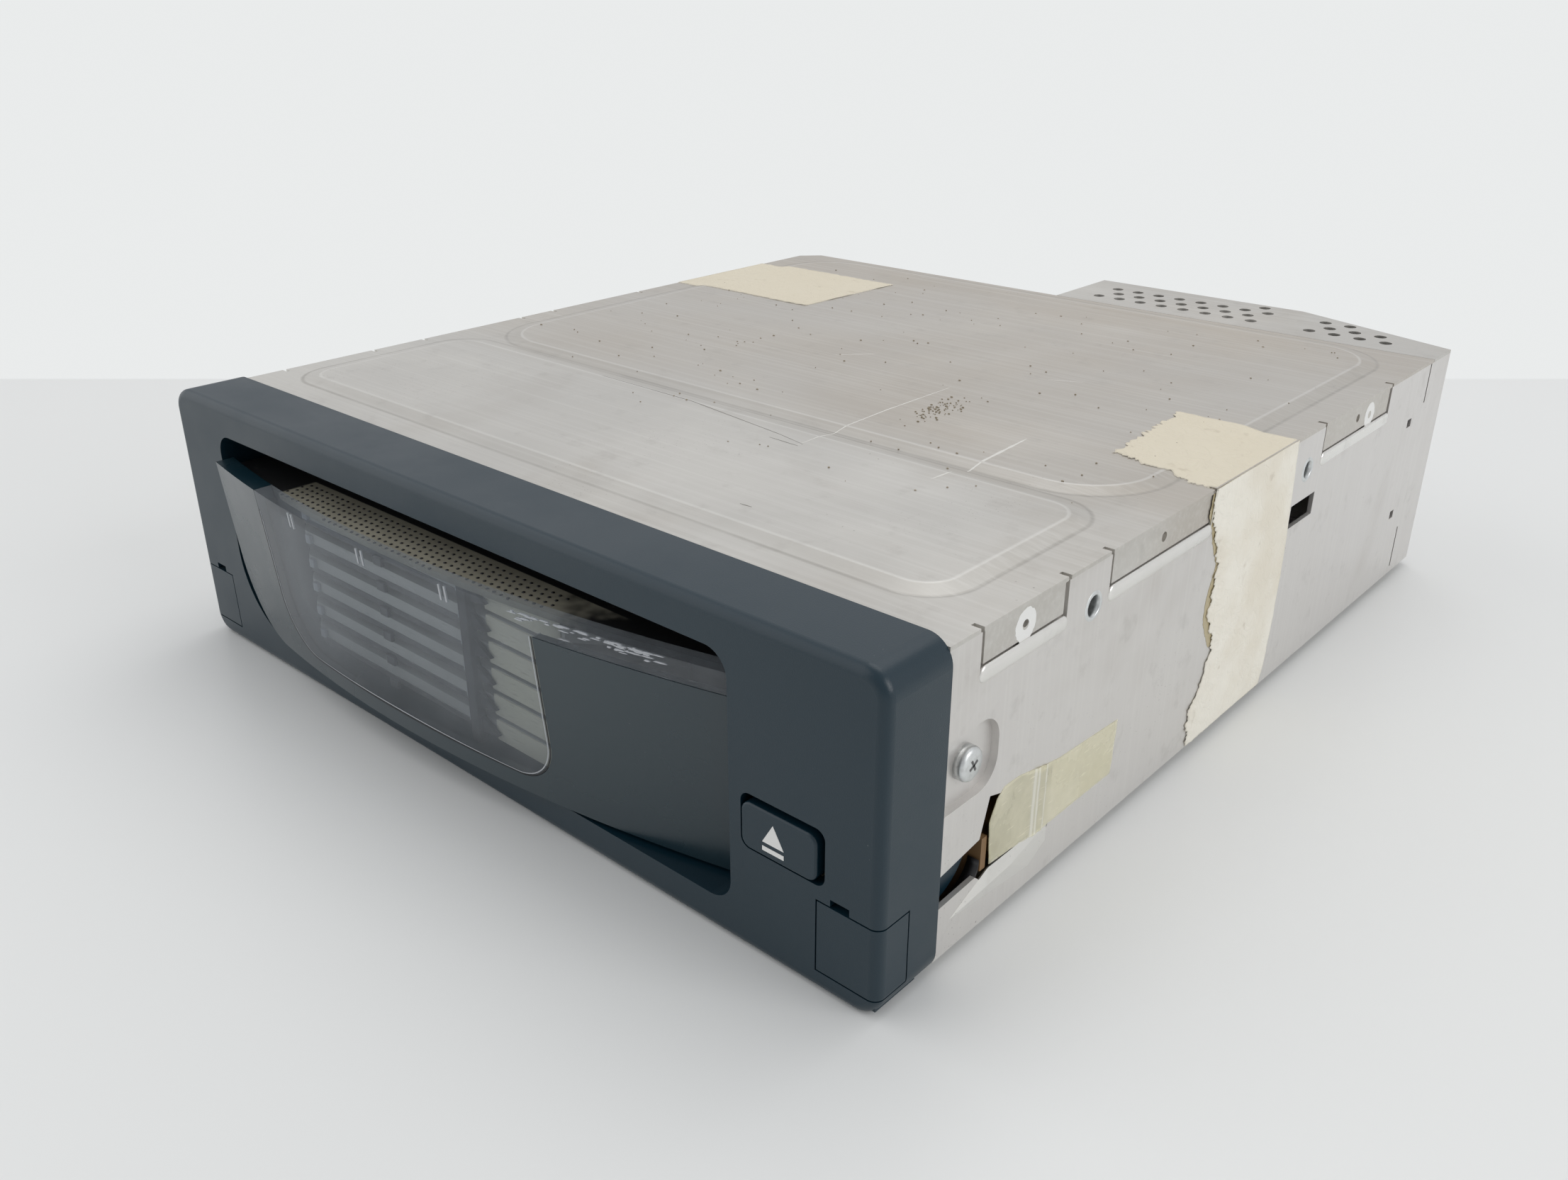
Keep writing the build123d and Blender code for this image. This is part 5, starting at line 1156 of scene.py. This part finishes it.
@dataclass(frozen=True)
class Dressing:
    """Which finish each carried-over node wears."""

    wear: tuple[tuple[str, str], ...] = (
        ("bezel_plastic", "front_bezel left_screw_cap right_screw_cap eject_button"),
        ("face_plastic", "magazine_front"),
        ("ledge_plastic", "magazine_upper_shell"),
        ("dark_plastic", "magazine_lower_shell left_guide_rail right_guide_rail turntable clamp_puck "
         "ejector_guide eject_switch board_components rear_connector pickup_sled"),
        ("grey_plastic", "tray_puller magazine_ejector"),
        ("tray_plastic", "disc_tray_1 disc_tray_2 disc_tray_3 disc_tray_4 disc_tray_5 disc_tray_6"),
        ("gear_plastic", "lift_gear"),
        ("board_laminate", "front_board main_board"),
        ("rubber", "rubber_dampers"),
        ("ribbon", "ribbon_cable"),
        ("cover_steel", "top_cover"),
        ("vent_steel", "rear_vent_cover"),
        ("side_steel", "lower_chassis left_side_wall right_side_wall mechanism_frame top_bracket "
         "lift_carriage play_deck clamp_arm"),
        ("plated_metal", "bezel_screws damper_screws board_screws"),
        ("turned_metal", "button_spring magazine_leaf_spring guide_posts lift_motor board_spacers "
         "sled_rods spindle_motor sled_motor clamp_pin lift_screw sled_screw"),
        ("contact_metal", "connector_pins lift_pinion"),
        ("smoky_window", "magazine_window"),
        ("lens", "pickup_lens"),
        ("film", "clear_tape"),
        ("seal_paper", "paper_seal_side paper_seal_top"),
    )

    def apply(self, nodes: Nodes, finishes: Finishes) -> None:
        """Dresses every carried-over node."""
        left = set(nodes)
        for finish, names in self.wear:
            for name in names.split():
                finishes.dress(nodes[name], finish)
                left.discard(name)
        log.info("nodes with no finish: %s", sorted(left))


@dataclass
class Studio:
    """Pale floor, soft lamps and the camera of the photograph."""

    eye: Point = (0.20917, -0.26335, 0.15665)
    aim: Point = (-0.60312, 0.67584, -0.42365)
    lens: float = 30.42
    wall_reach: float = 0.546
    target: Point = (0, 0, 0.03)
    bright_side: Point = (0.62, -0.68, 0.38)
    lamps: tuple[tuple[str, Point, float, float], ...] = (
        ("ceiling", (-0.1, 0.5, 1.3), 1.0, 3.5),
        ("window_right", (1.25, 0.1, 0.7), 0.8, 5.3),
        ("fill_left", (-1.1, -0.8, 0.7), 2.0, 7.2),
    )

    def stand(self, data: bpy.types.Camera | bpy.types.Light, where: Point, way: Vector) -> bpy.types.Object:
        """Puts a camera or a lamp in the scene.

        Args:
            data: the camera or lamp.
            where: its place in metres.
            way: the way it faces.

        Returns:
            Its object.
        """
        stand = bpy.data.objects.new(data.name, data)
        stand.location = where
        stand.rotation_mode = "QUATERNION"
        stand.rotation_quaternion = way.to_track_quat("-Z", "Y")
        bpy.context.scene.collection.objects.link(stand)
        return stand

    def camera(self) -> None:
        """Places the camera."""
        data = bpy.data.cameras.new("camera")
        data.lens = self.lens
        data.sensor_width = 36
        data.clip_start = 0.01
        bpy.context.scene.camera = self.stand(data, self.eye, Vector(self.aim))

    def floor(self) -> None:
        """A pale table that meets a pale wall tone behind the object."""
        mesh = bpy.data.meshes.new("floor")
        shape = bmesh.new()
        bmesh.ops.create_grid(shape, x_segments=1, y_segments=1, size=12)
        shape.to_mesh(mesh)
        shape.free()
        floor = bpy.data.objects.new("floor", mesh)
        bpy.context.scene.collection.objects.link(floor)
        shade = Shade("table")
        seam = Vector((self.aim[0], self.aim[1])).normalized()
        away = shade.plus(shade.times(shade.axis("X"), seam.x), shade.times(shade.axis("Y"), seam.y))
        reach = Vector(self.eye[:2]).dot(seam) + self.wall_reach
        wall = shade.ramp(away, reach - 0.001, reach + 0.001)
        cloud = shade.ramp(shade.noise(3, 3), 0.3, 0.7, 0, 0.3)
        table = shade.blend(cloud, (0.81, 0.82, 0.81), (0.78, 0.79, 0.79))
        shade.surface(shade.blend(wall, table, (0.83, 0.845, 0.86)), 0.35, Specular_IOR_Level=0.3)
        glow = shade.node("Emission", Color=(0.82, 0.835, 0.835))
        rays = shade.node("LightPath").outputs
        seen = shade.most(shade.most(rays["Is Camera Ray"], rays["Is Glossy Ray"]), rays["Is Transmission Ray"])
        shade.cover(shade.times(seen, wall), shade.shader.outputs[0], glow.outputs[0])
        floor.data.materials.append(shade.material)

    def lights(self) -> None:
        """Hangs the lamps and sets the world, which is a little darker on one side."""
        for name, where, size, power in self.lamps:
            data = bpy.data.lights.new(name, "AREA")
            data.size = size
            data.energy = power
            self.stand(data, where, Vector(self.target) - Vector(where))
        world = bpy.data.worlds.new("room")
        bpy.context.scene.world = world
        world.use_nodes = True
        tree = world.node_tree
        background = tree.nodes["Background"]
        coords = tree.nodes.new("ShaderNodeTexCoord")
        toward = tree.nodes.new("ShaderNodeVectorMath")
        toward.operation = "DOT_PRODUCT"
        toward.inputs[1].default_value = self.bright_side
        tree.links.new(coords.outputs["Generated"], toward.inputs[0])
        fade = tree.nodes.new("ShaderNodeMapRange")
        fade.interpolation_type = "SMOOTHSTEP"
        for name, number in (("From Min", 0.25), ("From Max", 0.85), ("To Min", 0.68), ("To Max", 0.5)):
            fade.inputs[name].default_value = number
        tree.links.new(toward.outputs["Value"], fade.inputs["Value"])
        tree.links.new(fade.outputs[0], background.inputs[1])
        background.inputs[0].default_value = (0.98, 0.985, 1.0, 1)

    def build(self) -> None:
        """Sets the whole stage."""
        self.camera()
        self.floor()
        self.lights()
        bpy.context.scene.view_settings.view_transform = "Standard"


def main() -> None:
    """Loads the frame, dresses it and reports each piece."""
    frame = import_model()
    nodes = frame["nodes"]
    finishes = Finishes()
    finishes.build()
    Dressing().apply(nodes, finishes)
    shop = Workshop(finishes)
    BezelDetails().build(shop, Skin.of(nodes, "eject_button"))
    MagazineDetails().build(shop, Skin.of(nodes, "magazine_upper_shell"))
    BoxDetails().build(shop)
    CoverMarks().build(shop, Skin.of(nodes, "top_cover"))
    Labels().build(shop, Skin.of(nodes, "top_cover right_side_wall lower_chassis"))
    BoardDetails().build(shop)
    Studio().build()


if __name__ == "__main__":
    logging.basicConfig(level=logging.INFO)
    main()
